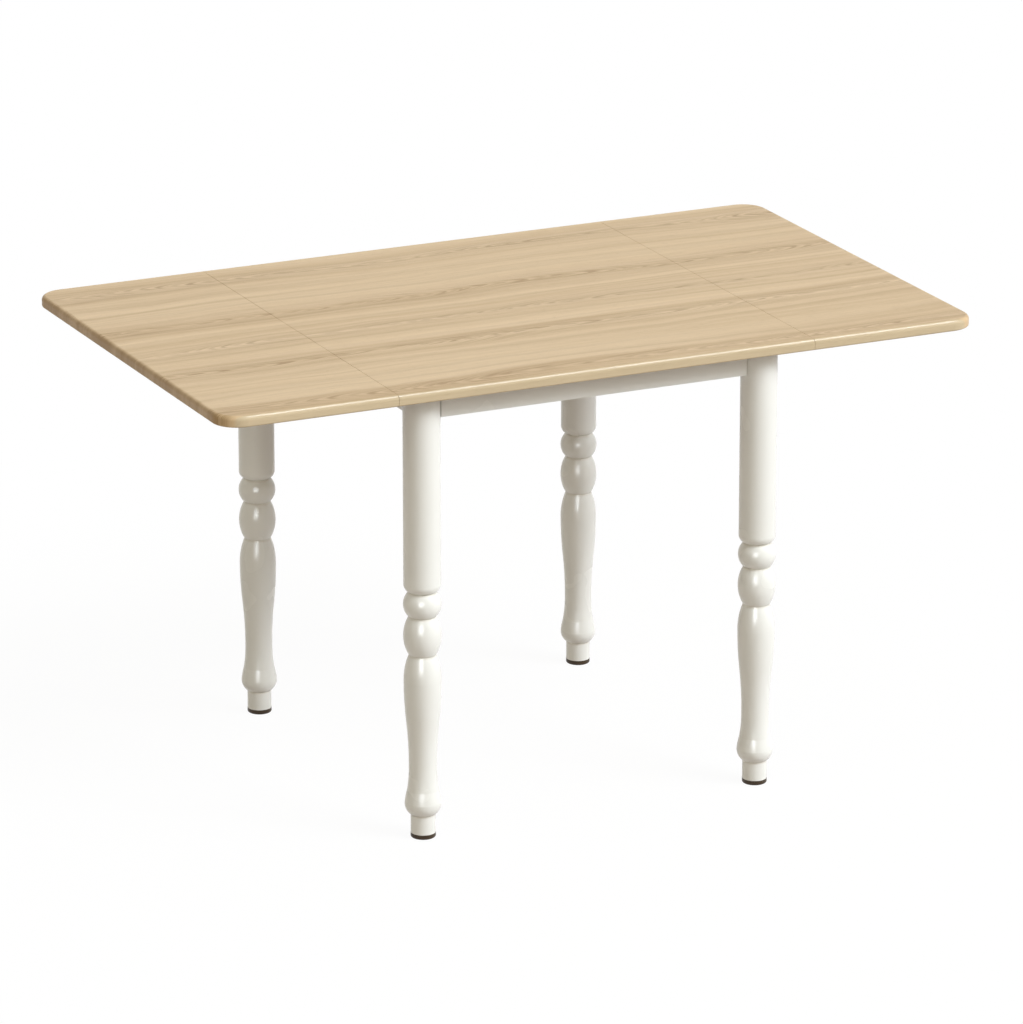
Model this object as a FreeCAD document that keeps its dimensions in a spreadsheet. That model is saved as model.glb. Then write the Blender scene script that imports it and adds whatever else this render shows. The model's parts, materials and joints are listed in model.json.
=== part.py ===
import FreeCAD, Part
import math
import operator
import os

import Sketcher
from FreeCAD import Placement, Rotation, Vector

# A drop-leaf dining table, millimetres.  The origin is on the floor under the middle of the
# top, X runs along the table, Y across it (the front is -Y) and Z is up.

# Driving dimensions: name, value, meaning
SIZES = [
    ("table_height", 750, "floor to the upper face of the top"),
    ("table_width", 780, "front edge to back edge"),
    ("centre_length", 717, "fixed middle panel, from seam to seam"),
    ("leaf_length", 292.5, "hinged leaf, from its seam to its free end"),
    ("seam_gap", 0.6, "open joint between the middle panel and a raised leaf"),
    ("top_thickness", 18, "all three panels"),
    ("leaf_corner", 42, "plan radius of a leaf's free corners"),
    ("upper_round", 7, "round along the upper edges"),
    ("lower_round", 3, "round along the lower edges"),
    ("leg_inset_x", 65.7, "leg axis from the middle panel's seam edge"),
    ("leg_inset_y", 63.5, "leg axis from the top's long edge"),
    ("leg_radius", 29.5, "plain upper length of a leg"),
    ("shoulder_height", 421, "lower end of the plain upper length"),
    ("shoulder_rise", 2.6, "bulge of the round under the plain length"),
    ("groove_radius", 21.6, "bottom of the turned grooves"),
    ("upper_groove", 406.3, "groove over the small bead"),
    ("middle_groove", 366, "groove between the two beads"),
    ("lower_groove", 303, "groove under the large bead"),
    ("bead_radius", 30.2, "widest point of both beads"),
    ("vase_radius", 29.9, "widest point of the vase"),
    ("vase_height", 261, "height of that point"),
    ("vase_rise", 2.1, "bulge of the round over that point"),
    ("waist_radius", 22.3, "narrowest point of the vase"),
    ("waist_height", 122, "height of that point"),
    ("vase_swell", 1, "bulge of each half of the vase's S-curve"),
    ("neck_radius", 25.2, "where the hollow over the bulb turns outwards"),
    ("neck_height", 79, "height of that point"),
    ("neck_rise", 1, "depth of that hollow"),
    ("bulb_radius", 29.2, "widest point of the bulb"),
    ("bulb_height", 59, "height of that point"),
    ("bulb_upper_rise", 0.3, "bulge of the bulb's upper slope"),
    ("bulb_lower_rise", 3, "bulge of the bulb's lower round"),
    ("tip_radius", 19.8, "plain tip of a leg"),
    ("tip_height", 38.5, "upper end of the plain tip"),
    ("foot_radius", 20, "plastic foot disc"),
    ("foot_height", 8, "thickness of the foot disc"),
    ("foot_round", 3, "round on the foot's lower rim"),
    ("spigot_radius", 5, "foot's spigot, pressed up into the leg"),
    ("spigot_length", 18, "its length"),
    ("press_fit", 0.03, "radial play of pressed and driven pieces"),
    ("rail_height", 43, "frame rails"),
    ("rail_thickness", 25, "frame rails"),
    ("rail_round", 1.5, "round along a rail's edges"),
    ("rail_seat", 1.6, "depth of the flat on a leg that a rail's square end faces"),
    ("rail_end_gap", 0.2, "between a rail's end and that flat"),
    ("bracket_distance", 58, "leg axis to the corner bracket's middle facet"),
    ("bracket_flange", 28, "corner bracket's flange along a rail"),
    ("bracket_height", 32, "corner bracket"),
    ("bracket_screw_inset", 8, "its screws from its upper and lower edges"),
    ("plate_thickness", 2, "all bent steel brackets"),
    ("bolt_radius", 4, "hanger bolt"),
    ("bolt_in_leg", 24, "depth of the hanger bolt in the leg"),
    ("bolt_past_nut", 5, "hanger bolt's free end"),
    ("bolt_play", 0.4, "radial play of the bolt in bracket and washer"),
    ("nut_across", 13, "nut, across its flats"),
    ("nut_height", 6.5, "nut"),
    ("washer_radius", 9, "washer under the nut"),
    ("washer_thickness", 1.6, "washer under the nut"),
    ("screw_radius", 2, "round-headed bracket screw"),
    ("screw_length", 14, "bracket screw under its head"),
    ("screw_head_radius", 3.8, "bracket screw"),
    ("screw_head_height", 2.2, "bracket screw"),
    ("screw_crown_radius", 2.7, "flat crown of the bracket screw's head"),
    ("clip_width", 30, "angle clip that holds the top down, along its rail"),
    ("clip_reach", 30, "both legs of the angle clip"),
    ("clip_hole_inset", 12, "its screw holes from the ends of its legs"),
    ("hinge_width", 60, "hinge along the seam"),
    ("hinge_reach", 34, "hinge flap from the pin's line to its far edge"),
    ("hinge_thickness", 1.6, "hinge flap"),
    ("hinge_inset", 125, "middle of the outer hinges from the top's long edge"),
    ("barrel_radius", 3.5, "rolled hinge knuckle"),
    ("barrel_drop", 0.3, "between the top's underside and the knuckle"),
    ("barrel_room", 0.6, "between a knuckle and the other flap"),
    ("knuckle_gap", 0.3, "between neighbouring knuckles"),
    ("pin_radius", 1.8, "hinge pin"),
    ("pin_fit", 0.05, "radial running clearance of every pin"),
    ("flap_screw_radius", 1.75, "countersunk hinge screw"),
    ("flap_screw_head", 3.3, "radius of its head"),
    ("flap_screw_length", 13.5, "its whole length"),
    ("flap_screw_near", 8.25, "inner hinge screw from the flap's near edge"),
    ("flap_screw_far", 7.1, "outer hinge screws from the flap's far edge"),
    ("flap_screw_end", 10, "outer hinge screws from the flap's ends"),
    ("prop_inset", 200, "leaf props from the top's long edge"),
    ("prop_pivot_out", 110, "prop's pivot from the seam"),
    ("prop_pivot_drop", 14, "prop's pivot under the leaf"),
    ("prop_tip_drop", 30, "middle of the seated prop end under the top"),
    ("prop_width", 16, "prop bar, and the diameter of its round ends"),
    ("prop_thickness", 5, "prop bar"),
    ("prop_play", 0.3, "between the prop bar and its pivot's cheeks"),
    ("prop_pin_radius", 3, "prop's pivot pin"),
    ("prop_pin_head", 4.8, "radius of the pivot pin's heads"),
    ("prop_pin_head_height", 1.6, "pivot pin's heads"),
    ("clevis_length", 24, "prop's pivot bracket along the table"),
    ("clevis_width", 46, "prop's pivot bracket along the seam"),
    ("clevis_screw_at_y", 15, "its screws, from its middle"),
    ("cheek_margin", 1.5, "pivot bracket's cheek outside the bar's round end"),
    ("socket_flange", 4, "prop socket's screwed flange"),
    ("socket_width", 50, "prop socket's flange along the rail"),
    ("socket_screw_at_y", 17, "its screws, from its middle"),
    ("socket_depth", 20, "prop socket, out from the rail"),
    ("socket_wall", 6, "prop socket's walls round the seated prop end"),
    ("socket_side_play", 0.5, "either side of the seated prop end"),
    ("socket_end_play", 0.3, "between the prop's end and the socket's bottom"),
    ("socket_roof_play", 2.5, "over the seated prop end"),
    ("socket_lift", 3.5, "socket's lower face over the rail's lower face"),
]

document = FreeCAD.newDocument("DropLeafTable")
sheet = document.addObject("Spreadsheet::Sheet", "Sizes")
for row, (alias, amount, meaning) in enumerate(SIZES, start=1):
    sheet.set(f"A{row}", meaning)
    sheet.set(f"B{row}", str(amount))
    sheet.setAlias(f"B{row}", alias)
document.recompute()


class Size:
    """A length with its value and the sheet expression that gives it."""

    def __init__(self, value, text):
        self.value = value
        self.text = text

    def __add__(self, other):
        return combine(operator.add, "+", self, other)

    def __sub__(self, other):
        return combine(operator.sub, "-", self, other)

    def __rsub__(self, other):
        return combine(operator.sub, "-", other, self)

    def __mul__(self, other):
        return combine(operator.mul, "*", self, other)

    def __truediv__(self, other):
        return combine(operator.truediv, "/", self, other)

    def __neg__(self):
        return combine(operator.sub, "-", 0, self)

    def root(self):
        return Size(math.sqrt(self.value), f"sqrt({self.text})")


def as_size(amount):
    """A plain number as a Size; a Size stays as it is."""
    if isinstance(amount, Size):
        return amount
    return Size(float(amount), str(amount))


def combine(action, sign, left, right):
    """Two amounts joined by one sign of arithmetic."""
    left = as_size(left)
    right = as_size(right)
    return Size(action(left.value, right.value), f"({left.text} {sign} {right.text})")


def size(alias):
    """The named size of the sheet."""
    return Size(float(sheet.get(alias)), f"Sizes.{alias}")


def bind(thing, **amounts):
    """Set the thing's properties to sizes."""
    for name, amount in amounts.items():
        thing.setExpression(name, as_size(amount).text)


def place(thing, x=0, y=0, z=0, turn=0):
    """Turn the thing about Z by whole degrees and put its origin at a place of the sheet's sizes."""
    thing.Placement = Placement(Vector(), Rotation(Vector(0, 0, 1), turn))
    for axis, amount in zip("xyz", (x, y, z)):
        thing.setExpression(f"Placement.Base.{axis}", as_size(amount).text)
    return thing


def point(x, y, z):
    """The sizes' values as a vector."""
    return Vector(as_size(x).value, as_size(y).value, as_size(z).value)


# Levels and places that several pieces share
underside = size("table_height") - size("top_thickness")
leg_x = size("centre_length") / 2 - size("leg_inset_x")
leg_y = size("table_width") / 2 - size("leg_inset_y")
rail_half = size("rail_thickness") / 2
rail_bottom = underside - size("rail_height")
rail_middle = underside - size("rail_height") / 2
rail_start = size("leg_radius") - size("rail_seat") + size("rail_end_gap")
seam_x = size("centre_length") / 2 + size("seam_gap") / 2
hinge_drop = size("barrel_radius") + size("barrel_drop")
hinge_at_y = size("table_width") / 2 - size("hinge_inset")
prop_at_y = size("table_width") / 2 - size("prop_inset")
side_rail_out = leg_x + rail_half - seam_x
prop_radius = size("prop_width") / 2
prop_half = size("prop_thickness") / 2
socket_bottom_out = side_rail_out + size("socket_wall")
tip_out = socket_bottom_out + size("socket_end_play") + prop_radius

# Angle clips sit half way from the middle to the leg on a long rail, and a third on a side rail
clip_at_x = leg_x / 2
clip_at_y = leg_y / 3

# Corners of the frame: name, signs of X and Y, and the turn that takes a front left piece there
CORNERS = [
    ("front_left", -1, -1, 0),
    ("front_right", 1, -1, 90),
    ("back_right", 1, 1, 180),
    ("back_left", -1, 1, 270),
]
# Sides that carry a leaf: name, sign of X, and the turn that takes a right-hand piece there
SIDES = [("left", -1, 180), ("right", 1, 0)]

# Places nearer than this are one
TOUCH = 0.001

nodes = {}


def keep(name, thing):
    """Make the thing a sub-part of the table under its own name."""
    thing.Label = name
    nodes[name] = thing
    return thing


def origin_plane(body, role):
    """One of the body's own origin planes."""
    return next(item for item in body.Origin.OriginFeatures if item.Role == role)


def outline(body, name, plane, corners, arcs=None):
    """A closed sketch through corners given as pairs of sizes.

    arcs maps a corner's number to the rise of the arc that leaves it, and +1 where that arc
    bulges to the right of the way round or -1 where it bulges to the left.
    """
    arcs = arcs or {}
    sketch = body.newObject("Sketcher::SketchObject", name)
    sketch.AttachmentSupport = [(origin_plane(body, plane), "")]
    sketch.MapMode = "FlatFace"
    corners = [(as_size(across), as_size(up)) for across, up in corners]
    first_end = []
    for number, (across, up) in enumerate(corners):
        next_across, next_up = corners[(number + 1) % len(corners)]
        start = Vector(across.value, up.value, 0)
        end = Vector(next_across.value, next_up.value, 0)
        if number in arcs:
            rise, bulge = arcs[number]
            chord = end - start
            to_right = Vector(chord.y, -chord.x, 0).normalize()
            middle = (start + end) * 0.5 + to_right * (as_size(rise).value * bulge)
            sketch.addGeometry(Part.Arc(start, middle, end), False)
            first_end.append((1, 2) if bulge > 0 else (2, 1))
        else:
            sketch.addGeometry(Part.LineSegment(start, end), False)
            first_end.append((1, 2))
    for number in range(len(corners)):
        following = (number + 1) % len(corners)
        sketch.addConstraint(Sketcher.Constraint(
            "Coincident", number, first_end[number][1], following, first_end[following][0]))
    for number, (across, up) in enumerate(corners):
        first = first_end[number][0]
        for kind, axis, amount in (("DistanceX", -2, across), ("DistanceY", -1, up)):
            if amount.value == 0:
                sketch.addConstraint(Sketcher.Constraint("PointOnObject", number, first, axis))
                continue
            index = sketch.addConstraint(Sketcher.Constraint(kind, -1, 1, number, first, amount.value))
            sketch.setExpression(f"Constraints[{index}]", amount.text)
    for number, (rise, _) in arcs.items():
        across, up = corners[number]
        next_across, next_up = corners[(number + 1) % len(corners)]
        wide = next_across - across
        tall = next_up - up
        rise = as_size(rise)
        radius = ((wide * wide + tall * tall) / 4 + rise * rise) / (rise * 2)
        index = sketch.addConstraint(Sketcher.Constraint("Radius", number, radius.value))
        sketch.setExpression(f"Constraints[{index}]", radius.text)
    return sketch


def new_body(name):
    """An empty body."""
    return document.addObject("PartDesign::Body", f"{name}_body")


def pad(body, sketch, length):
    """The sketch raised by a length."""
    feature = body.newObject("PartDesign::Pad", f"{body.Name}_pad")
    feature.Profile = sketch
    bind(feature, Length=length)
    document.recompute()
    return feature


def turned(name, corners, arcs):
    """A body of revolution about Z from an outline of radius and height."""
    body = new_body(name)
    sketch = outline(body, f"{name}_outline", "XZ_Plane", corners, arcs)
    feature = body.newObject("PartDesign::Revolution", f"{name}_turning")
    feature.Profile = sketch
    feature.ReferenceAxis = (sketch, ["V_Axis"])
    feature.Angle = 360
    return body


def round_edges(body, feature, radius, chosen):
    """A fillet on those edges of the feature that the test picks."""
    names = [f"Edge{number}" for number, edge in enumerate(feature.Shape.Edges, start=1) if chosen(edge)]
    fillet = body.newObject("PartDesign::Fillet", f"{body.Name}_round")
    fillet.Base = (feature, names)
    bind(fillet, Radius=radius)
    document.recompute()
    return fillet


def lies_at(edge, axis, amount):
    """True where both ends of the edge have that coordinate."""
    level = as_size(amount).value
    return all(abs(getattr(vertex, axis) - level) < TOUCH for vertex in edge.Vertexes)


def spans(edge, axis):
    """True where the edge runs some way along an axis."""
    return getattr(edge.BoundBox, f"{axis}Length") > TOUCH


def box(name, corner, extent):
    """A block from its lowest corner."""
    block = document.addObject("Part::Box", name)
    bind(block, Length=extent[0], Width=extent[1], Height=extent[2])
    return place(block, *corner)


def rod(name, radius, length, base, direction):
    """A cylinder from the middle of its base along a direction."""
    cylinder = document.addObject("Part::Cylinder", name)
    bind(cylinder, Radius=radius, Height=length)
    place(cylinder, *base)
    cylinder.Placement.Rotation = Rotation(Vector(0, 0, 1), direction)
    return cylinder


def fuse(name, pieces):
    """Overlapping pieces as one solid."""
    union = document.addObject("Part::MultiFuse", name)
    union.Shapes = pieces
    union.Refine = True
    return union


def cut(name, base, tool):
    """The base with the tool taken out."""
    result = document.addObject("Part::Cut", name)
    result.Base = base
    result.Tool = tool
    return result


def group(name, pieces):
    """Separate like pieces under one name."""
    compound = document.addObject("Part::Compound", name)
    compound.Links = pieces
    return compound


def copies(name, pattern, places):
    """Copies of one pattern piece at several placements."""
    document.recompute()
    shapes = []
    for placement in places:
        shape = pattern.Shape.copy()
        shape.Placement = placement.multiply(shape.Placement)
        shapes.append(shape)
    feature = document.addObject("Part::Feature", name)
    feature.Shape = Part.makeCompound(shapes)
    return feature


def drilled(name, base, pattern, places):
    """The base with the pattern hole cut at several placements."""
    return cut(f"{name}_drilled", base, copies(f"{name}_holes", pattern, places))


def drive(at, direction):
    """The placement of a screw: the seat of its head, and the way that it is driven."""
    return Placement(at, Rotation(Vector(0, 0, 1), direction))


UP = Vector(0, 0, 1)
ACROSS = Vector(0, 1, 0)
ALONG = Vector(1, 0, 0)


def side_frame(sign, y):
    """A leaf's own frame: its seam's middle line at the underside, X outwards."""
    turn = Rotation(UP, 0 if sign > 0 else 180)
    return Placement(point(seam_x * sign, y, underside), turn)


# Screws: a pattern of each kind with its head's seat at the origin, driven along Z
screw_shank = rod("screw_shank", size("screw_radius"), size("screw_length"), (0, 0, 0), UP)
screw_head = document.addObject("Part::Cone", "screw_head")
bind(screw_head, Radius1=size("screw_crown_radius"), Radius2=size("screw_head_radius"),
     Height=size("screw_head_height"))
place(screw_head, z=-size("screw_head_height"))
bracket_screw = fuse("bracket_screw", [screw_shank, screw_head])
bracket_screw_hole = rod("bracket_screw_hole", size("screw_radius") + size("press_fit"),
                         size("screw_length") + size("press_fit"), (0, 0, 0), UP)

flap_screw_play = {"flap_screw": as_size(0), "flap_screw_hole": size("press_fit")}
flap_screws = {}
for screw_name, play in flap_screw_play.items():
    shank = rod(f"{screw_name}_shank", size("flap_screw_radius") + play,
                size("flap_screw_length") + play, (0, 0, 0), UP)
    head = document.addObject("Part::Cone", f"{screw_name}_head")
    bind(head, Radius1=size("flap_screw_head") + play, Radius2=size("flap_screw_radius") + play,
         Height=size("hinge_thickness"))
    flap_screws[screw_name] = fuse(screw_name, [shank, head])

# Places of the screws and holes, by the piece that they hold or enter
hinge_rows = [("front", -hinge_at_y), ("middle", as_size(0)), ("back", hinge_at_y)]
flap_start = size("barrel_radius") + size("barrel_room")
flap_near = flap_start + size("flap_screw_near")
flap_far = size("hinge_reach") - size("flap_screw_far")
flap_aside = size("hinge_width") / 2 - size("flap_screw_end")
flap_places = [(flap_far, -flap_aside), (flap_near, as_size(0)), (flap_far, flap_aside)]


def flap_screw_places(sign, y, outwards):
    """The three screws of one hinge flap; outwards is +1 on the leaf and -1 on the middle panel."""
    frame = side_frame(sign, y)
    return [frame.multiply(drive(point(out * outwards, aside, -size("hinge_thickness")), UP))
            for out, aside in flap_places]


clip_spots = []
for sign, long_rail, side_rail in ((-1, "front", "left"), (1, "back", "right")):
    for clip_sign in (-1, 1):
        on_long = point(clip_at_x * clip_sign, (leg_y - rail_half) * sign, underside)
        on_side = point((leg_x - rail_half) * sign, clip_at_y * clip_sign, underside)
        clip_spots.append((Placement(on_long, Rotation(UP, -90 * sign)), long_rail))
        clip_spots.append((Placement(on_side, Rotation(UP, 90 + 90 * sign)), side_rail))

clip_hole = size("clip_reach") - size("clip_hole_inset")
clip_panel_screw = drive(point(clip_hole, 0, -size("plate_thickness")), UP)
clip_rail_screw = drive(point(size("plate_thickness"), 0, -clip_hole), -ALONG)
clip_panel_places = [spot.multiply(clip_panel_screw) for spot, _ in clip_spots]
clip_rail_places = {rail: [spot.multiply(clip_rail_screw) for spot, owner in clip_spots if owner == rail]
                    for rail in ("front", "back", "left", "right")}

flange_start = size("bracket_distance") * math.sqrt(2) - rail_half
flange_middle = flange_start + size("bracket_flange") / 2
flange_face = rail_half + size("plate_thickness")
flange_screw_z = size("bracket_height") / 2 - size("bracket_screw_inset")


def corner_screw_places(sign_x, sign_y):
    """The screws of one corner bracket, as those into its long rail and those into its side rail."""
    long_rail, side_rail = [], []
    for z in (rail_middle - flange_screw_z, rail_middle + flange_screw_z):
        on_long = point((leg_x - flange_middle) * sign_x, (leg_y - flange_face) * sign_y, z)
        on_side = point((leg_x - flange_face) * sign_x, (leg_y - flange_middle) * sign_y, z)
        long_rail.append(drive(on_long, Vector(0, sign_y, 0)))
        side_rail.append(drive(on_side, Vector(sign_x, 0, 0)))
    return long_rail, side_rail


prop_rows = [("front", -prop_at_y), ("back", prop_at_y)]
socket_top = size("prop_tip_drop") - prop_radius - size("socket_roof_play") - size("socket_wall")
socket_low = size("rail_height") - size("socket_lift")
socket_screw_drop = (socket_top + socket_low) / 2


def socket_screw_places(sign, y):
    """The two screws of one prop socket, driven inwards into the side rail."""
    frame = side_frame(sign, y)
    out = side_rail_out + size("socket_flange")
    return [frame.multiply(drive(point(out, size("socket_screw_at_y") * aside, -socket_screw_drop), -ALONG))
            for aside in (-1, 1)]


def clevis_screw_places(sign, y):
    """The two screws of one prop's pivot bracket, driven up into the leaf."""
    frame = side_frame(sign, y)
    seat = -size("plate_thickness")
    out = size("prop_pivot_out")
    return [frame.multiply(drive(point(out, size("clevis_screw_at_y") * aside, seat), UP))
            for aside in (-1, 1)]


# The three panels of the top
def rounded_panel(name, start, end, rounds_end):
    """A panel from start to end along X, with its outer edges rounded and its seam edges square."""
    body = new_body(name)
    half = size("table_width") / 2
    sketch = outline(body, f"{name}_outline", "XY_Plane",
                     [(start, -half), (end, -half), (end, half), (start, half)])
    feature = pad(body, sketch, size("top_thickness"))
    if rounds_end:
        feature = round_edges(body, feature, size("leaf_corner"), lambda edge: (
            lies_at(edge, "X", end) and spans(edge, "Z")))

    def is_outer(edge):
        on_seam = lies_at(edge, "X", start) or (not rounds_end and lies_at(edge, "X", end))
        return not spans(edge, "Z") and not on_seam

    feature = round_edges(body, feature, size("upper_round"), lambda edge: (
        is_outer(edge) and lies_at(edge, "Z", size("top_thickness"))))
    round_edges(body, feature, size("lower_round"), lambda edge: (
        is_outer(edge) and lies_at(edge, "Z", 0)))
    return body


centre = place(rounded_panel("centre_panel", -size("centre_length") / 2, size("centre_length") / 2, False),
               z=underside)
frame_flap_places = [placement for _, sign, _ in SIDES for _, y in hinge_rows
                     for placement in flap_screw_places(sign, y, -1)]
centre = drilled("centre_panel_flaps", centre, flap_screws["flap_screw_hole"], frame_flap_places)
keep("centre_panel", drilled("centre_panel_clips", centre, bracket_screw_hole, clip_panel_places))

for side, sign, turn in SIDES:
    leaf = rounded_panel(f"{side}_leaf_panel", size("seam_gap") / 2,
                         size("seam_gap") / 2 + size("leaf_length"), True)
    place(leaf, x=seam_x * sign, z=underside, turn=turn)
    leaf_flap_places = [placement for _, y in hinge_rows for placement in flap_screw_places(sign, y, 1)]
    clevis_places = [placement for _, y in prop_rows for placement in clevis_screw_places(sign, y)]
    leaf = drilled(f"{side}_leaf_flaps", leaf, flap_screws["flap_screw_hole"], leaf_flap_places)
    keep(f"{side}_leaf_panel", drilled(f"{side}_leaf_clevises", leaf, bracket_screw_hole, clevis_places))
    keep(f"{side}_leaf_hinge_screws",
         copies(f"{side}_leaf_hinge_screws", flap_screws["flap_screw"], leaf_flap_places))
    keep(f"{side}_prop_bracket_screws", copies(f"{side}_prop_bracket_screws", bracket_screw, clevis_places))
keep("frame_hinge_screws", copies("frame_hinge_screws", flap_screws["flap_screw"], frame_flap_places))


# The four turned legs and their feet
def leg_body(name):
    """A turned leg on the Z axis, bored for the foot's spigot."""
    bore = size("spigot_radius") + size("press_fit")
    bore_top = size("foot_height") + size("spigot_length") + size("press_fit")
    bead_rise = size("bead_radius") - size("groove_radius")
    swell_radius = (size("waist_radius") + size("vase_radius")) / 2
    swell_height = (size("waist_height") + size("vase_height")) / 2
    corners = [
        (bore, size("foot_height")),
        (size("tip_radius"), size("foot_height")),
        (size("tip_radius"), size("tip_height")),
        (size("bulb_radius"), size("bulb_height")),
        (size("neck_radius"), size("neck_height")),
        (size("waist_radius"), size("waist_height")),
        (swell_radius, swell_height),
        (size("vase_radius"), size("vase_height")),
        (size("groove_radius"), size("lower_groove")),
        (size("groove_radius"), size("middle_groove")),
        (size("groove_radius"), size("upper_groove")),
        (size("leg_radius"), size("shoulder_height")),
        (size("leg_radius"), underside),
        (0, underside),
        (0, bore_top),
        (bore, bore_top),
    ]
    arcs = {
        2: (size("bulb_lower_rise"), 1),
        3: (size("bulb_upper_rise"), 1),
        4: (size("neck_rise"), -1),
        5: (size("vase_swell"), -1),
        6: (size("vase_swell"), 1),
        7: (size("vase_rise"), 1),
        8: (bead_rise, 1),
        9: (bead_rise, 1),
        10: (size("shoulder_rise"), 1),
    }
    return turned(name, corners, arcs)


def foot_body(name):
    """A foot disc with its spigot."""
    rim = size("foot_radius") - size("foot_round")
    quarter_arc_rise = size("foot_round") * (1 - math.sqrt(0.5))
    spigot_top = size("foot_height") + size("spigot_length")
    corners = [
        (0, 0),
        (rim, 0),
        (size("foot_radius"), size("foot_round")),
        (size("foot_radius"), size("foot_height")),
        (size("spigot_radius"), size("foot_height")),
        (size("spigot_radius"), spigot_top),
        (0, spigot_top),
    ]
    return turned(name, corners, {1: (quarter_arc_rise, 1)})


def corner_bracket_body(name):
    """A plate bent into two flanges and a slanting middle facet, drawn for the front left corner."""
    thickness = size("plate_thickness")
    near = rail_half
    far = rail_half + thickness
    bend = flange_start + thickness * (math.sqrt(2) - 1)
    flange_end = flange_start + size("bracket_flange")
    body = new_body(name)
    sketch = outline(body, f"{name}_outline", "XY_Plane", [
        (flange_end, near),
        (flange_end, far),
        (bend, far),
        (far, bend),
        (far, flange_end),
        (near, flange_end),
        (near, flange_start),
        (flange_start, near),
    ])
    pad(body, sketch, size("bracket_height"))
    return body


washer_at = size("bracket_distance") + size("plate_thickness")
nut_at = washer_at + size("washer_thickness")
bolt_at = size("leg_radius") - size("bolt_in_leg")
nut_end = nut_at + size("nut_height")
bolt_end = nut_end + size("bolt_past_nut")
bolt_hole_radius = size("bolt_radius") + size("bolt_play")
bolts, washers, nuts = [], [], []
corner_screws = []
rail_screw_places = {"front": [], "back": [], "left": [], "right": []}


def diagonal_rod(name, radius, start, end, sign_x, sign_y):
    """A cylinder on a leg's inward diagonal, at the rails' middle height, from start to end off its axis."""
    step = start * math.sqrt(0.5)
    base = ((leg_x - step) * sign_x, (leg_y - step) * sign_y, rail_middle)
    return rod(name, radius, end - start, base, Vector(-sign_x, -sign_y, 0))


def rail_seats(name, sign_x, sign_y):
    """The two blocks that cut a leg's flats, from just under the rails to over the leg's upper end."""
    depth = size("rail_seat")
    low = rail_bottom - size("rail_end_gap")
    tall = underside + depth - low
    long_side = box(f"{name}_long_seat", ((leg_x - size("leg_radius")) * sign_x - depth, leg_y * sign_y - rail_half, low),
                    (depth * 2, size("rail_thickness"), tall))
    end_side = box(f"{name}_end_seat", (leg_x * sign_x - rail_half, (leg_y - size("leg_radius")) * sign_y - depth, low),
                   (size("rail_thickness"), depth * 2, tall))
    return group(f"{name}_seats", [long_side, end_side])


for corner, sign_x, sign_y, turn in CORNERS:
    signs = (sign_x, sign_y)
    leg = place(leg_body(f"leg_{corner}"), leg_x * sign_x, leg_y * sign_y)
    leg = cut(f"leg_{corner}_seated", leg, rail_seats(f"leg_{corner}", *signs))
    bolt_bore = diagonal_rod(f"leg_{corner}_bore", size("bolt_radius") + size("press_fit"),
                             bolt_at - size("press_fit"), size("bracket_distance"), *signs)
    keep(f"leg_{corner}", cut(f"leg_{corner}_bored", leg, bolt_bore))
    keep(f"foot_{corner}", place(foot_body(f"foot_{corner}"), leg_x * sign_x, leg_y * sign_y))

    name = f"corner_bracket_{corner}"
    bracket_low = rail_middle - size("bracket_height") / 2
    bracket = place(corner_bracket_body(name), leg_x * sign_x, leg_y * sign_y, bracket_low, turn)
    bracket_bore = diagonal_rod(f"{name}_bore", bolt_hole_radius,
                                size("bracket_distance"), washer_at, *signs)
    long_places, side_places = corner_screw_places(sign_x, sign_y)
    bracket = cut(f"{name}_bored", bracket, bracket_bore)
    keep(name, drilled(name, bracket, bracket_screw_hole, long_places + side_places))
    corner_screws += long_places + side_places
    rail_screw_places["front" if sign_y < 0 else "back"] += long_places
    rail_screw_places["left" if sign_x < 0 else "right"] += side_places

    bolts.append(diagonal_rod(f"bolt_{corner}", size("bolt_radius"), bolt_at, bolt_end, *signs))
    washer = diagonal_rod(f"washer_{corner}", size("washer_radius"), washer_at, nut_at, *signs)
    washer_hole = diagonal_rod(f"washer_{corner}_hole", bolt_hole_radius, washer_at, nut_at, *signs)
    nut_hole = diagonal_rod(f"nut_{corner}_hole", size("bolt_radius") + size("press_fit"),
                            nut_at, nut_end, *signs)
    nut = document.addObject("Part::Prism", f"nut_{corner}")
    nut.Polygon = 6
    bind(nut, Circumradius=size("nut_across") / math.sqrt(3), Height=size("nut_height"))
    nut_step = nut_at * math.sqrt(0.5)
    place(nut, (leg_x - nut_step) * sign_x, (leg_y - nut_step) * sign_y, rail_middle)
    nut.Placement.Rotation = Rotation(UP, Vector(-sign_x, -sign_y, 0))
    washers.append(cut(f"washer_{corner}_bored", washer, washer_hole))
    nuts.append(cut(f"nut_{corner}_bored", nut, nut_hole))

keep("leg_bolts", group("leg_bolts", bolts))
keep("leg_washers", group("leg_washers", washers))
keep("leg_nuts", group("leg_nuts", nuts))
keep("corner_bracket_screws", copies("corner_bracket_screws", bracket_screw, corner_screws))


# The four rails of the frame
def rail_body(name, length):
    """A square-ended rail along X with its long edges rounded, centred on the origin."""
    body = new_body(name)
    half = length / 2
    sketch = outline(body, f"{name}_outline", "XY_Plane", [
        (-half, -rail_half), (half, -rail_half), (half, rail_half), (-half, rail_half)])
    feature = pad(body, sketch, size("rail_height"))
    round_edges(body, feature, size("rail_round"), lambda edge: (
        not spans(edge, "Y") and not spans(edge, "Z")))
    return body


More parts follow.
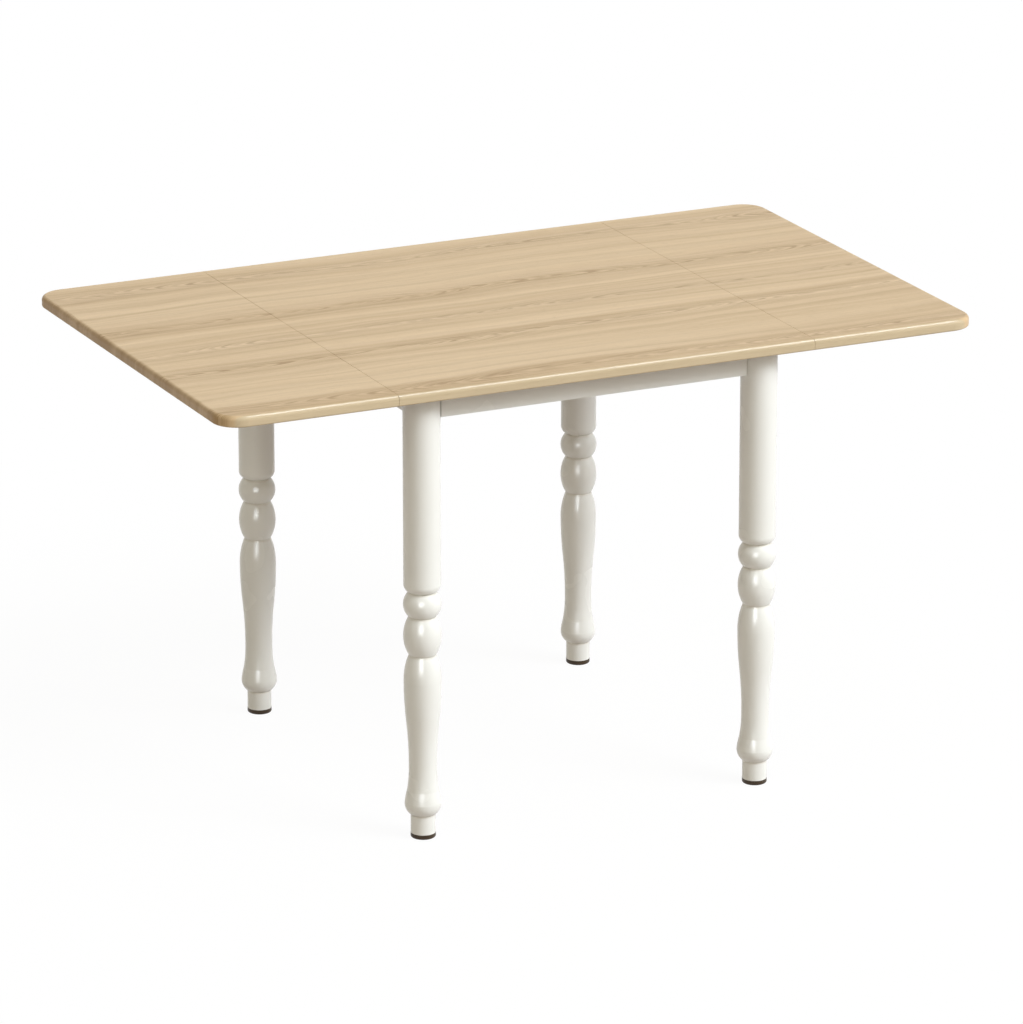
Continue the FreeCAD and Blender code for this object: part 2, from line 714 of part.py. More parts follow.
long_rail_length = (leg_x - rail_start) * 2
side_rail_length = (leg_y - rail_start) * 2
socket_screws = {side: [placement for _, y in prop_rows for placement in socket_screw_places(sign, y)]
                 for side, sign, _ in SIDES}
for rail, sign in (("front", -1), ("back", 1)):
    blank = place(rail_body(f"{rail}_rail", long_rail_length), y=leg_y * sign, z=rail_bottom)
    places = rail_screw_places[rail] + clip_rail_places[rail]
    keep(f"{rail}_rail", drilled(f"{rail}_rail", blank, bracket_screw_hole, places))
for side, sign, _ in SIDES:
    blank = place(rail_body(f"{side}_rail", side_rail_length), x=leg_x * sign, z=rail_bottom, turn=90)
    places = rail_screw_places[side] + clip_rail_places[side] + socket_screws[side]
    keep(f"{side}_rail", drilled(f"{side}_rail", blank, bracket_screw_hole, places))

# Angle clips that hold the middle panel down on the rails
clip_flat = box("clip_flat", (0, -size("clip_width") / 2, -size("plate_thickness")),
                (size("clip_reach"), size("clip_width"), size("plate_thickness")))
clip_upright = box("clip_upright", (0, -size("clip_width") / 2, -size("clip_reach")),
                   (size("plate_thickness"), size("clip_width"), size("clip_reach")))
clip = fuse("clip", [clip_flat, clip_upright])
clip = drilled("clip_pattern", clip, bracket_screw_hole, [clip_panel_screw, clip_rail_screw])
keep("top_clips", copies("top_clips", clip, [spot for spot, _ in clip_spots]))
clip_screws = list(clip_panel_places)
for places in clip_rail_places.values():
    clip_screws += places
keep("top_clip_screws", copies("top_clip_screws", bracket_screw, clip_screws))


# Hinges under the seams
knuckle_length = (size("hinge_width") - size("knuckle_gap") * 2) / 3
knuckle_step = knuckle_length + size("knuckle_gap")


def hinge_flap(name, outwards, knuckle_starts):
    """A hinge flap in a leaf's frame, with its rolled knuckles on the pin's line."""
    half = size("hinge_width") / 2
    thickness = size("hinge_thickness")
    flap_corner = flap_start if outwards > 0 else -size("hinge_reach")
    strap_corner = 0 if outwards > 0 else -flap_start
    pieces = [box(f"{name}_flat", (flap_corner, -half, -thickness),
                  (size("hinge_reach") - flap_start, size("hinge_width"), thickness))]
    for number, start in enumerate(knuckle_starts):
        pieces.append(box(f"{name}_strap_{number}", (strap_corner, start, -thickness),
                          (flap_start, knuckle_length, thickness)))
        pieces.append(rod(f"{name}_knuckle_{number}", size("barrel_radius"), knuckle_length,
                          (0, start, -hinge_drop), ACROSS))
    bore = rod(f"{name}_bore", size("pin_radius") + size("pin_fit"), size("hinge_width"),
               (0, -half, -hinge_drop), ACROSS)
    return cut(f"{name}_bored", fuse(f"{name}_rolled", pieces), bore)


frame_knuckles = [-size("hinge_width") / 2, -size("hinge_width") / 2 + knuckle_step * 2]
leaf_knuckles = [-knuckle_length / 2]
for side, sign, turn in SIDES:
    pins = []
    for row, y in hinge_rows:
        for owner, outwards, starts in (("frame", -1, frame_knuckles), ("leaf", 1, leaf_knuckles)):
            name = f"{side}_hinge_{row}_{owner}_flap"
            flap = place(hinge_flap(name, outwards, starts), seam_x * sign, y, underside, turn)
            places = flap_screw_places(sign, y, outwards)
            keep(name, drilled(name, flap, flap_screws["flap_screw_hole"], places))
        pins.append(rod(f"{side}_hinge_{row}_pin", size("pin_radius"), size("hinge_width"),
                        (seam_x * sign, y - size("hinge_width") / 2, underside - hinge_drop), ACROSS))
    keep(f"{side}_hinge_pins", group(f"{side}_hinge_pins", pins))

# Leaf props: a bar on a pivot under the leaf, whose round end seats in a socket on the side rail
pivot_out = size("prop_pivot_out")
pivot_drop = size("prop_pivot_drop")
reach_out = pivot_out - tip_out
reach_down = size("prop_tip_drop") - pivot_drop
prop_length = (reach_out * reach_out + reach_down * reach_down).root()
prop_lean = Rotation(ALONG, point(-reach_out, 0, -reach_down))
cheek_radius = prop_radius + size("cheek_margin")
cheek_inside = prop_half + size("prop_play")
cheek_outside = cheek_inside + size("plate_thickness")
prop_hole_radius = size("prop_pin_radius") + size("pin_fit")


def prop_bar(name):
    """The bar with round ends, from its pivot at the origin along X."""
    flat = box(f"{name}_flat", (0, -prop_half, -prop_radius),
               (prop_length, size("prop_thickness"), size("prop_width")))
    ends = [rod(f"{name}_end_{number}", prop_radius, size("prop_thickness"), (out, -prop_half, 0), ACROSS)
            for number, out in enumerate((0, prop_length))]
    hole = rod(f"{name}_hole", prop_hole_radius, size("prop_thickness"), (0, -prop_half, 0), ACROSS)
    return cut(f"{name}_bored", fuse(f"{name}_bar", [flat] + ends), hole)


def prop_clevis(name):
    """The pivot bracket in a leaf's frame: a screwed plate with two cheeks bent down."""
    base = box(f"{name}_base", (pivot_out - size("clevis_length") / 2, -size("clevis_width") / 2,
                                -size("plate_thickness")),
               (size("clevis_length"), size("clevis_width"), size("plate_thickness")))
    pieces = [base]
    for number, start in enumerate((cheek_inside, -cheek_outside)):
        pieces.append(box(f"{name}_cheek_{number}", (pivot_out - cheek_radius, start, -pivot_drop),
                          (cheek_radius * 2, size("plate_thickness"), pivot_drop)))
        pieces.append(rod(f"{name}_cheek_end_{number}", cheek_radius, size("plate_thickness"),
                          (pivot_out, start, -pivot_drop), ACROSS))
    hole = rod(f"{name}_hole", prop_hole_radius, cheek_outside * 2,
               (pivot_out, -cheek_outside, -pivot_drop), ACROSS)
    return cut(f"{name}_bored", fuse(f"{name}_bent", pieces), hole)


def prop_pin(name):
    """The pivot pin in a leaf's frame, with a head outside each cheek."""
    head_height = size("prop_pin_head_height")
    shank = rod(f"{name}_shank", size("prop_pin_radius"), cheek_outside * 2,
                (pivot_out, -cheek_outside, -pivot_drop), ACROSS)
    heads = [rod(f"{name}_head_{number}", size("prop_pin_head"), head_height,
                 (pivot_out, start, -pivot_drop), ACROSS)
             for number, start in enumerate((cheek_outside, -cheek_outside - head_height))]
    return fuse(name, [shank] + heads)


def prop_socket(name):
    """The socket in a leaf's frame: a screwed flange, and a boss open below and outwards for the prop."""
    socket_height = socket_low - socket_top
    slot_half = prop_half + size("socket_side_play")
    boss_half = slot_half + size("socket_wall")
    flange = box(f"{name}_flange", (side_rail_out, -size("socket_width") / 2, -socket_low),
                 (size("socket_flange"), size("socket_width"), socket_height))
    boss = box(f"{name}_boss", (side_rail_out, -boss_half, -socket_low),
               (size("socket_depth"), boss_half * 2, socket_height))
    slot = box(f"{name}_slot", (socket_bottom_out, -slot_half, -socket_low),
               (size("socket_depth"), slot_half * 2, socket_height - size("socket_wall")))
    return cut(f"{name}_slotted", fuse(f"{name}_block", [flange, boss]), slot)


for side, sign, turn in SIDES:
    pins = []
    for row, y in prop_rows:
        frame = side_frame(sign, y)
        bar = prop_bar(f"{side}_prop_{row}")
        bar.Placement = frame.multiply(Placement(point(pivot_out, 0, -pivot_drop), prop_lean))
        keep(f"{side}_prop_{row}", bar)
        spot = (seam_x * sign, y, underside, turn)
        name = f"{side}_prop_bracket_{row}"
        clevis = place(prop_clevis(name), *spot)
        keep(name, drilled(name, clevis, bracket_screw_hole, clevis_screw_places(sign, y)))
        pins.append(place(prop_pin(f"{side}_prop_{row}_pin"), *spot))
        name = f"{side}_prop_socket_{row}"
        socket = place(prop_socket(name), *spot)
        keep(name, drilled(name, socket, bracket_screw_hole, socket_screw_places(sign, y)))
    keep(f"{side}_prop_pins", group(f"{side}_prop_pins", pins))
all_socket_screws = socket_screws["left"] + socket_screws["right"]
keep("prop_socket_screws", copies("prop_socket_screws", bracket_screw, all_socket_screws))

# Check every object, then write one file for each sub-part
document.recompute()
failed = [thing.Name for thing in document.Objects if {"Invalid", "Error"} & set(thing.State)]
if failed:
    raise RuntimeError(f"not computed: {failed}")
for name, thing in nodes.items():
    if thing.Shape.isNull() or not thing.Shape.isValid() or not thing.Shape.Solids:
        raise RuntimeError(f"{name} is no valid solid")
os.makedirs("parts", exist_ok=True)
for name, thing in nodes.items():
    thing.Shape.exportStep(f"parts/{name}.step")
print(f"{len(nodes)} sub-parts written")
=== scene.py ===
"""Looks of a drop-leaf dining table: its finishes, its fine hardware and a plain studio."""
import json
import math

import bpy
import numpy as np
from bpy.props import FloatProperty, FloatVectorProperty, PointerProperty
from bpy.types import NodeSocket, Operator, Panel, PropertyGroup
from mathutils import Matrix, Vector

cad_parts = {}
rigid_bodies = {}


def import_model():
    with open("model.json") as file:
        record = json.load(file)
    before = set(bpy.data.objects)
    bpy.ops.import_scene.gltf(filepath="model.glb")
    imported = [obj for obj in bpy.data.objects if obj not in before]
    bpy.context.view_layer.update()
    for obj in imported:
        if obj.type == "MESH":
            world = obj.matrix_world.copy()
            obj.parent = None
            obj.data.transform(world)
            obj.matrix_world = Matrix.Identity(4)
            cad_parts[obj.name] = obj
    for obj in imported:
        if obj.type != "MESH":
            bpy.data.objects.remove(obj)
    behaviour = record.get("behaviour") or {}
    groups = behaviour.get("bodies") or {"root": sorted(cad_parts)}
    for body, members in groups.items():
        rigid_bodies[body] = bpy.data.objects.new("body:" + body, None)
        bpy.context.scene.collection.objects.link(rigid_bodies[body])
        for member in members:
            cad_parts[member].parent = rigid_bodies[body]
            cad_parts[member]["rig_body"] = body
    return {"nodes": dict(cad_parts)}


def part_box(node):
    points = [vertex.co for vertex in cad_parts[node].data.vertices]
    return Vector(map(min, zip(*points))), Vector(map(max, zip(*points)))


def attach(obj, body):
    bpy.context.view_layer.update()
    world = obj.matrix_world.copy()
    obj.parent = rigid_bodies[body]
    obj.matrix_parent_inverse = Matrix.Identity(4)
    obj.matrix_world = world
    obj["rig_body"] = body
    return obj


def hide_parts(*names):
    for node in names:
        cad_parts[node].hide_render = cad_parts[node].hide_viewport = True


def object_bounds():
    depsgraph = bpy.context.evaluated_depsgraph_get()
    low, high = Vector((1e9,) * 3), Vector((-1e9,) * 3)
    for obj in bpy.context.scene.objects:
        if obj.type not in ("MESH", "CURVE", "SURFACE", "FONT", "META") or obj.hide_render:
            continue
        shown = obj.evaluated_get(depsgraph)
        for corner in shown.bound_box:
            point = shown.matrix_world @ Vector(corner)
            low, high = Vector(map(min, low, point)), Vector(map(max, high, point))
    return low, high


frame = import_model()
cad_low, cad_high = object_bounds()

bl_info = {
    "name": "Drop-leaf table finishes",
    "version": (1, 0, 0),
    "blender": (4, 5, 0),
    "location": "3D View > Sidebar > Table",
    "description": "Dresses the table's solids in foil, enamel and plated steel, and sets up a studio",
    "category": "Object",
}

MM = 0.001
TOP_Z = cad_high.z
HALF_WIDTH = cad_high.y
HALF_LENGTH = cad_high.x
UNDERSIDE_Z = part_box("centre_panel")[0].z

PANELS = ("centre_panel", "left_leaf_panel", "right_leaf_panel")
CORNERS = ("front_left", "front_right", "back_left", "back_right")
RAILS = ("front_rail", "back_rail", "left_rail", "right_rail")
PAINTED = (*RAILS, *(f"leg_{corner}" for corner in CORNERS))
SIDES = ("left", "right")
ROWS = ("front", "back")
BRACKET_SCREWS = ("corner_bracket_screws", "top_clip_screws", "prop_socket_screws",
                  "left_prop_bracket_screws", "right_prop_bracket_screws")
HINGE_SCREWS = ("frame_hinge_screws", "left_leaf_hinge_screws", "right_leaf_hinge_screws")

# The print: where on its endless pattern the table was cut, how far its growth wanders to the side
# and over what length and width, and the size of the short dark marks in the flames
BOARD_START = 4.3
WANDER, WANDER_LENGTH, WANDER_WIDTH = 42 * MM, 0.46, 0.13
MARK_LENGTH, MARK_WIDTH = 24 * MM, 11 * MM
# How far in from the long edges the print starts to turn down, and is drawn thin, and where both end
TURN_START, TURN_END, THIN_START, THIN_END = 12 * MM, 2 * MM, 7 * MM, 3 * MM
# How far in from the ends the painted shade on the end faces starts and where its ramp ends, and how strong
# it is
END_SHADE_START, END_SHADE_STOP, END_SHADE_STRENGTH = 5 * MM, 1 * MM, 0.52
# How much darker the flames' rows, arches and marks are, and how far noise moves the arches
ROW_WEIGHT, ARCH_WEIGHT, MARK_WEIGHT, ARCH_SHAKE = 0.17, 0.17, 0.5, 0.25
# Tone of each layer of the grain: the noise where it starts and where it is full, and its weight
TONES = (
    ("band", 0.30, 0.70, 0.14),
    ("streak", 0.30, 0.74, 0.26),
    ("line", 0.46, 0.78, 0.22),
    ("fibre", 0.30, 0.70, 0.14),
)
# Rows of flames: the heart line across the table, half the width, the strength, the arches' bow
FLAMES = (
    (0.338, 40 * MM, 1.0, -420),
    (0.131, 36 * MM, 0.9, 380),
    (-0.006, 34 * MM, 0.7, -460),
    (-0.131, 44 * MM, 1.0, 400),
    (-0.336, 34 * MM, 0.9, -380),
)
# Heights of the turned grooves of a leg, and how far to either side of each the painted shade reaches
GROOVES = (406.3 * MM, 366.0 * MM, 303.0 * MM, 38.5 * MM)
GROOVE_SHADE_REACH = 4 * MM

# The studio: where each lamp hangs and how wide it is, and where the floor's shadow runs out
LAMPS = {
    "key": ((14.9, -21.3, 22.4), 12.8),
    "side": ((22.4, -16.0, 12.9), 9.6),
    "left": ((-24.8, -6.0, 8.9), 9.6),
    "fill": ((-6.6, -9.8, 5.1), 1.0),
    "glint": ((-6.6, -10.1, 3.2), 6.0),
    "shine": ((4.9, -3.3, 11.2), 5.0),
}
LAMP_AIM = (0, 0, 0.5)
SENSOR_WIDTH = 36
FAR_CLIP = 200
FLOOR_REACH = 30.0
SHADOW_NEAR, SHADOW_FAR = 0.6, 1.8
WHITE = (1, 1, 1, 1)

# Sockets of a colour mix: its share, its two colours and its result
SHARE, FIRST, SECOND, MIXED = 0, 6, 7, 2
# Angles round a turned piece
TURN = np.linspace(0, math.tau, 48, endpoint=False)


def hex_colour(code):
    """An sRGB hex code as linear light: a straight foot below 0.04045, then the 2.4 power."""
    srgb = np.array([int(code[at:at + 2], 16) for at in (1, 3, 5)]) / 255
    linear = np.where(srgb <= 0.04045, srgb / 12.92, ((srgb + 0.055) / 1.055) ** 2.4)
    return tuple(float(part) for part in linear)


def colour(name, description, code):
    """A colour that a user may change."""
    return FloatVectorProperty(name=name, description=description, default=hex_colour(code),
                               subtype="COLOR", size=3, min=0, max=1)


def length(name, description, millimetres):
    """A length that a user may change."""
    return FloatProperty(name=name, description=description, default=millimetres * MM,
                         subtype="DISTANCE", unit="LENGTH", min=0, precision=4)


class OakFoilSettings(PropertyGroup):
    """The printed foil of the top."""
    ground: colour("Ground", "Palest wood between the streaks", "#DBC19C")
    streak: colour("Streak", "Darker growth streaks", "#A98B64")
    rim: colour("Rim", "Foil drawn thin over the long edges", "#BDB49C")
    pore: colour("Pore", "Short open pores", "#8C7048")
    backing: colour("Backing", "Bare fibreboard of the underside", "#B9A180")
    band_width: length("Band width", "Widest streaks across the grain", 62)
    streak_width: length("Streak width", "Common streaks across the grain", 30)
    line_width: length("Line width", "Thin dark growth lines across the grain", 13)
    fibre_width: length("Fibre width", "Finest lines across the grain", 2.4)
    flame_pitch: length("Flame pitch", "Between the tips of the flame figure along the grain", 34)


class EnamelSettings(PropertyGroup):
    """The white paint of the legs and rails."""
    paint: colour("Paint", "White enamel", "#E8E8E4")
    # The groove colour is painted shade, laid into the turned grooves
    groove: colour("Groove", "Paint gathered in the turned grooves", "#D6D2C8")
    peel: length("Peel", "Ripple of the sprayed coat", 2.4)


class HardwareSettings(PropertyGroup):
    """The metal and plastic pieces."""
    zinc: colour("Zinc", "Plated steel", "#B4B7BA")
    zinc_shade: colour("Zinc shade", "Darker crystals in the plating", "#8D9196")
    coat: colour("Coat", "Powder coat of the prop bars", "#E2DFD8")
    nylon: colour("Nylon", "Moulded sockets", "#DEDACE")
    foot: colour("Foot", "Moulded feet", "#453626")
    bolt_pitch: length("Bolt pitch", "Machine thread of the leg bolts", 1.25)
    wood_pitch: length("Wood thread pitch", "Coarse thread of screws and of the bolts' ends in the legs", 2.2)
    thread_depth: length("Thread depth", "Ridge of every thread", 0.6)
    recess_width: length("Recess width", "Slots of a screw's cross recess", 1.1)
    recess_depth: length("Recess depth", "Cross recess of a screw", 1.3)


class StudioSettings(PropertyGroup):
    """Camera, lamps and background."""
    camera_place: FloatVectorProperty(name="Camera", description="Where the camera stands",
                                      default=(-4.4395, -9.4457, 3.7494), subtype="XYZ", unit="LENGTH")
    camera_aim: FloatVectorProperty(name="Aim", description="The point in the middle of the picture",
                                    default=(0.0468, 0.0679, 0.375), subtype="XYZ", unit="LENGTH")
    lens: FloatProperty(name="Lens", description="Focal length on a 36 mm sensor, in millimetres",
                        default=238.52, min=1)
    key_power: FloatProperty(name="Key", description="Large lamp at the front right", default=8100,
                             subtype="POWER", unit="POWER", min=0)
    key_tint: colour("Key tint", "Cool daylight of the large lamp", "#F5FAFF")
    side_power: FloatProperty(name="Side", description="Lower lamp at the right end", default=3520,
                              subtype="POWER", unit="POWER", min=0)
    left_power: FloatProperty(name="Left", description="Weak lamp at the left end", default=560,
                              subtype="POWER", unit="POWER", min=0)
    fill_power: FloatProperty(name="Fill", description="Small lamp beside the camera", default=60,
                              subtype="POWER", unit="POWER", min=0)
    shine_power: FloatProperty(name="Shine", description="Lamp overhead that shows in reflections alone",
                               default=3300, subtype="POWER", unit="POWER", min=0)
    glint_power: FloatProperty(name="Glint", description="Lamp at the front that shows in the paint alone",
                               default=1180, subtype="POWER", unit="POWER", min=0)
    ambience: FloatProperty(name="Ambience", description="Light from all round", default=0.43, min=0)
    surround: colour("Surround", "Tint of the light from all round", "#FFFAE7")
    floor: colour("Floor", "Tint of the light that the floor throws back", "#B4A9A2")
    floor_seen: colour("Floor as seen", "Pale floor as the camera sees it", "#FFFFFF")


class TableSettings(PropertyGroup):
    """All that a user may change."""
    oak: PointerProperty(type=OakFoilSettings)
    enamel: PointerProperty(type=EnamelSettings)
    hardware: PointerProperty(type=HardwareSettings)
    studio: PointerProperty(type=StudioSettings)


# Materials

def add(tree, kind, inputs=None, **settings):
    """A new node of that kind: its settings, and its inputs set to a value or linked to a socket."""
    made = tree.nodes.new(kind)
    for name, value in settings.items():
        setattr(made, name, value)
    for name, value in (inputs or {}).items():
        if isinstance(value, NodeSocket):
            tree.links.new(value, made.inputs[name])
        else:
            made.inputs[name].default_value = value
    return made


def new_material(name):
    """An empty material and its node tree."""
    material = bpy.data.materials.new(name)
    material.use_nodes = True
    material.node_tree.nodes.clear()
    return material, material.node_tree


def opaque(settings_colour):
    """A colour setting with full alpha."""
    return (*settings_colour, 1)


def dress(material, *names):
    """Give CAD nodes a material."""
    for name in names:
        frame["nodes"][name].material_slots[0].material = material


def printed_oak_foil(oak):
    """Oak grain printed on PVC foil, pressed over fibreboard: satin, streaked along the table."""
    material, tree = new_material("printed_oak_foil")
    place = add(tree, "ShaderNodeTexCoord").outputs["Object"]
    axes = add(tree, "ShaderNodeSeparateXYZ", {0: place}).outputs
    # Across the grain is Y, and over the long edges the foil runs on down the edge
    aside = add(tree, "ShaderNodeMath", {0: axes["Y"]}, operation="ABSOLUTE").outputs[0]
    on_edge = add(tree, "ShaderNodeMapRange", {"Value": aside, "From Min": HALF_WIDTH - TURN_START,
                                               "From Max": HALF_WIDTH - TURN_END},
                  interpolation_type="SMOOTHSTEP").outputs[0]
    drop = add(tree, "ShaderNodeMath", {0: axes["Z"], 1: TOP_Z}, operation="SUBTRACT").outputs[0]
    across = add(tree, "ShaderNodeMath", {0: drop, 1: on_edge, 2: axes["Y"]},
                 operation="MULTIPLY_ADD").outputs[0]
    sheet = add(tree, "ShaderNodeCombineXYZ", {0: axes["X"], 1: across}).outputs[0]

    # Growth wanders a few millimetres to either side along the board
    slow = add(tree, "ShaderNodeVectorMath", {0: sheet, 1: (1 / WANDER_LENGTH, 1 / WANDER_WIDTH, 0)},
               operation="MULTIPLY").outputs[0]
    wander = add(tree, "ShaderNodeTexNoise", {"Vector": slow, "Scale": 1, "Detail": 2},
                 noise_dimensions="2D").outputs[0]
    bent = add(tree, "ShaderNodeMath", {0: wander, 1: WANDER, 2: across}, operation="MULTIPLY_ADD").outputs[0]
    run_on = add(tree, "ShaderNodeMath", {0: axes["X"], 1: BOARD_START}, operation="ADD").outputs[0]
    grain = add(tree, "ShaderNodeCombineXYZ", {0: run_on, 1: bent}).outputs[0]

    # Bands, streaks, lines and fibres: noise drawn out along the grain, by its length and its width
    layers = {}
    for name, run, width, detail in (("band", 2.6, oak.band_width, 1), ("streak", 1.6, oak.streak_width, 2),
                                     ("line", 1.2, oak.line_width, 1), ("fibre", 0.05, oak.fibre_width, 2),
                                     ("pore", 16 * MM, 0.9 * MM, 2), ("flame", 0.42, 90 * MM, 1)):
        scaled = add(tree, "ShaderNodeVectorMath", {0: grain, 1: (1 / run, 1 / width, 0)},
                     operation="MULTIPLY").outputs[0]
        layers[name] = add(tree, "ShaderNodeTexNoise", {"Vector": scaled, "Scale": 1, "Detail": detail},
                           noise_dimensions="2D").outputs[0]

    # Flames: a dark row along each heart line, with nested parabolas and short dark marks in it
    hearts, arches, marks = 0.0, 0.0, 0.0
    for heart, half, strength, bow in FLAMES:
        off = add(tree, "ShaderNodeMath", {0: bent, 1: heart}, operation="SUBTRACT").outputs[0]
        square = add(tree, "ShaderNodeMath", {0: off, 1: off}, operation="MULTIPLY").outputs[0]
        near = add(tree, "ShaderNodeMapRange", {"Value": square, "From Min": 0, "From Max": half ** 2,
                                                "To Min": strength, "To Max": 0},
                   interpolation_type="SMOOTHSTEP").outputs[0]
        tips = add(tree, "ShaderNodeMath", {0: square, 1: bow, 2: axes["X"]},
                   operation="MULTIPLY_ADD").outputs[0]
        shaken = add(tree, "ShaderNodeMath", {0: layers["flame"], 1: ARCH_SHAKE, 2: tips},
                     operation="MULTIPLY_ADD").outputs[0]
        turns = add(tree, "ShaderNodeMath", {0: shaken, 1: math.tau / oak.flame_pitch},
                    operation="MULTIPLY").outputs[0]
        ripple = add(tree, "ShaderNodeMath", {0: turns}, operation="SINE").outputs[0]
        dash = add(tree, "ShaderNodeCombineXYZ", {0: shaken, 1: off}).outputs[0]
        dash = add(tree, "ShaderNodeVectorMath", {0: dash, 1: (1 / MARK_LENGTH, 1 / MARK_WIDTH, 0)},
                   operation="MULTIPLY").outputs[0]
        dash = add(tree, "ShaderNodeTexNoise", {"Vector": dash, "Scale": 1, "Detail": 1},
                   noise_dimensions="2D").outputs[0]
        dash = add(tree, "ShaderNodeMapRange", {"Value": dash, "From Min": 0.54, "From Max": 0.68}).outputs[0]
        hearts = add(tree, "ShaderNodeMath", {0: near, 1: hearts}, operation="ADD").outputs[0]
        arches = add(tree, "ShaderNodeMath", {0: ripple, 1: near, 2: arches},
                     operation="MULTIPLY_ADD").outputs[0]
        marks = add(tree, "ShaderNodeMath", {0: dash, 1: near, 2: marks},
                    operation="MULTIPLY_ADD").outputs[0]
    patchy = add(tree, "ShaderNodeMapRange", {"Value": layers["flame"], "From Min": 0.32, "From Max": 0.56,
                                              "To Min": 0.7},
                 interpolation_type="SMOOTHSTEP").outputs[0]
    rows = add(tree, "ShaderNodeMath", {0: hearts, 1: ROW_WEIGHT}, operation="MULTIPLY").outputs[0]
    rows = add(tree, "ShaderNodeMath", {0: arches, 1: ARCH_WEIGHT, 2: rows},
               operation="MULTIPLY_ADD").outputs[0]
    rows = add(tree, "ShaderNodeMath", {0: marks, 1: MARK_WEIGHT, 2: rows},
               operation="MULTIPLY_ADD").outputs[0]

    # How dark each place is, from all layers, with painted shade darkening the end faces
    along = add(tree, "ShaderNodeMath", {0: axes["X"]}, operation="ABSOLUTE").outputs[0]
    # Painted shade: the print darkens towards the streak colour over the last few millimetres of each end
    painted_end_shade = add(tree, "ShaderNodeMapRange", {"Value": along, "From Min": HALF_LENGTH - END_SHADE_START,
                                              "From Max": HALF_LENGTH - END_SHADE_STOP, "To Max": END_SHADE_STRENGTH},
                 interpolation_type="SMOOTHSTEP").outputs[0]
    tone = add(tree, "ShaderNodeMath", {0: rows, 1: patchy, 2: painted_end_shade}, operation="MULTIPLY_ADD").outputs[0]
    for name, low, high, weight in TONES:
        spread = add(tree, "ShaderNodeMapRange", {"Value": layers[name], "From Min": low, "From Max": high,
                                                  "To Max": weight}).outputs[0]
        tone = add(tree, "ShaderNodeMath", {0: spread, 1: tone}, operation="ADD").outputs[0]
    wood = add(tree, "ShaderNodeMix", {SHARE: tone, FIRST: opaque(oak.ground), SECOND: opaque(oak.streak)},
               data_type="RGBA").outputs[MIXED]
    pores = add(tree, "ShaderNodeMapRange", {"Value": layers["pore"], "From Min": 0.64, "From Max": 0.76,
                                             "To Max": 0.3}).outputs[0]
    wood = add(tree, "ShaderNodeMix", {SHARE: pores, FIRST: wood, SECOND: opaque(oak.pore)},
               data_type="RGBA").outputs[MIXED]
    # Over the long edges the foil is drawn thin, paler and smoother
    thinned = add(tree, "ShaderNodeMapRange", {"Value": aside, "From Min": HALF_WIDTH - THIN_START,
                                               "From Max": HALF_WIDTH - THIN_END},
                  interpolation_type="SMOOTHSTEP").outputs[0]
    half = add(tree, "ShaderNodeMath", {0: thinned, 1: 0.5}, operation="MULTIPLY").outputs[0]
    wood = add(tree, "ShaderNodeMix", {SHARE: half, FIRST: wood, SECOND: opaque(oak.rim)},
               data_type="RGBA").outputs[MIXED]

    # The underside is bare fibreboard with a faint fleck
    fleck = add(tree, "ShaderNodeTexNoise", {"Vector": place, "Scale": 1 / (3 * MM), "Detail": 3}).outputs[0]
    board_tone = add(tree, "ShaderNodeMapRange", {"Value": fleck, "From Min": 0.3, "From Max": 0.8,
                                                  "To Max": 0.35}).outputs[0]
    board = add(tree, "ShaderNodeMix",
                {SHARE: board_tone, FIRST: opaque(oak.backing), SECOND: opaque(oak.pore)},
                data_type="RGBA").outputs[MIXED]
    below = add(tree, "ShaderNodeMath", {0: axes["Z"], 1: UNDERSIDE_Z + 0.2 * MM},
                operation="LESS_THAN").outputs[0]
    surface = add(tree, "ShaderNodeMix", {SHARE: below, FIRST: wood, SECOND: board},
                  data_type="RGBA").outputs[MIXED]

    # Embossed fibres and open pores, and the slight waves of foil drawn over an edge
    waves = add(tree, "ShaderNodeTexNoise", {"Vector": place, "Scale": 1 / (26 * MM), "Detail": 2}).outputs[0]
    relief = add(tree, "ShaderNodeMath", {0: pores, 1: -0.5, 2: layers["fibre"]},
                 operation="MULTIPLY_ADD").outputs[0]
    relief = add(tree, "ShaderNodeMath", {0: waves, 1: 2.0, 2: relief}, operation="MULTIPLY_ADD").outputs[0]
    bump = add(tree, "ShaderNodeBump", {"Strength": 0.12, "Distance": 0.4 * MM, "Height": relief}).outputs[0]
    sheen = add(tree, "ShaderNodeMapRange", {"Value": layers["streak"], "From Min": 0.3, "From Max": 0.7,
                                             "To Min": 0.30, "To Max": 0.38}).outputs[0]
    sheen = add(tree, "ShaderNodeMath", {0: thinned, 1: -0.06, 2: sheen}, operation="MULTIPLY_ADD").outputs[0]
    shader = add(tree, "ShaderNodeBsdfPrincipled", {"Base Color": surface, "Roughness": sheen, "IOR": 1.48,
                                                    "Specular IOR Level": 0.15, "Normal": bump}).outputs[0]
    add(tree, "ShaderNodeOutputMaterial", {"Surface": shader})
    return material


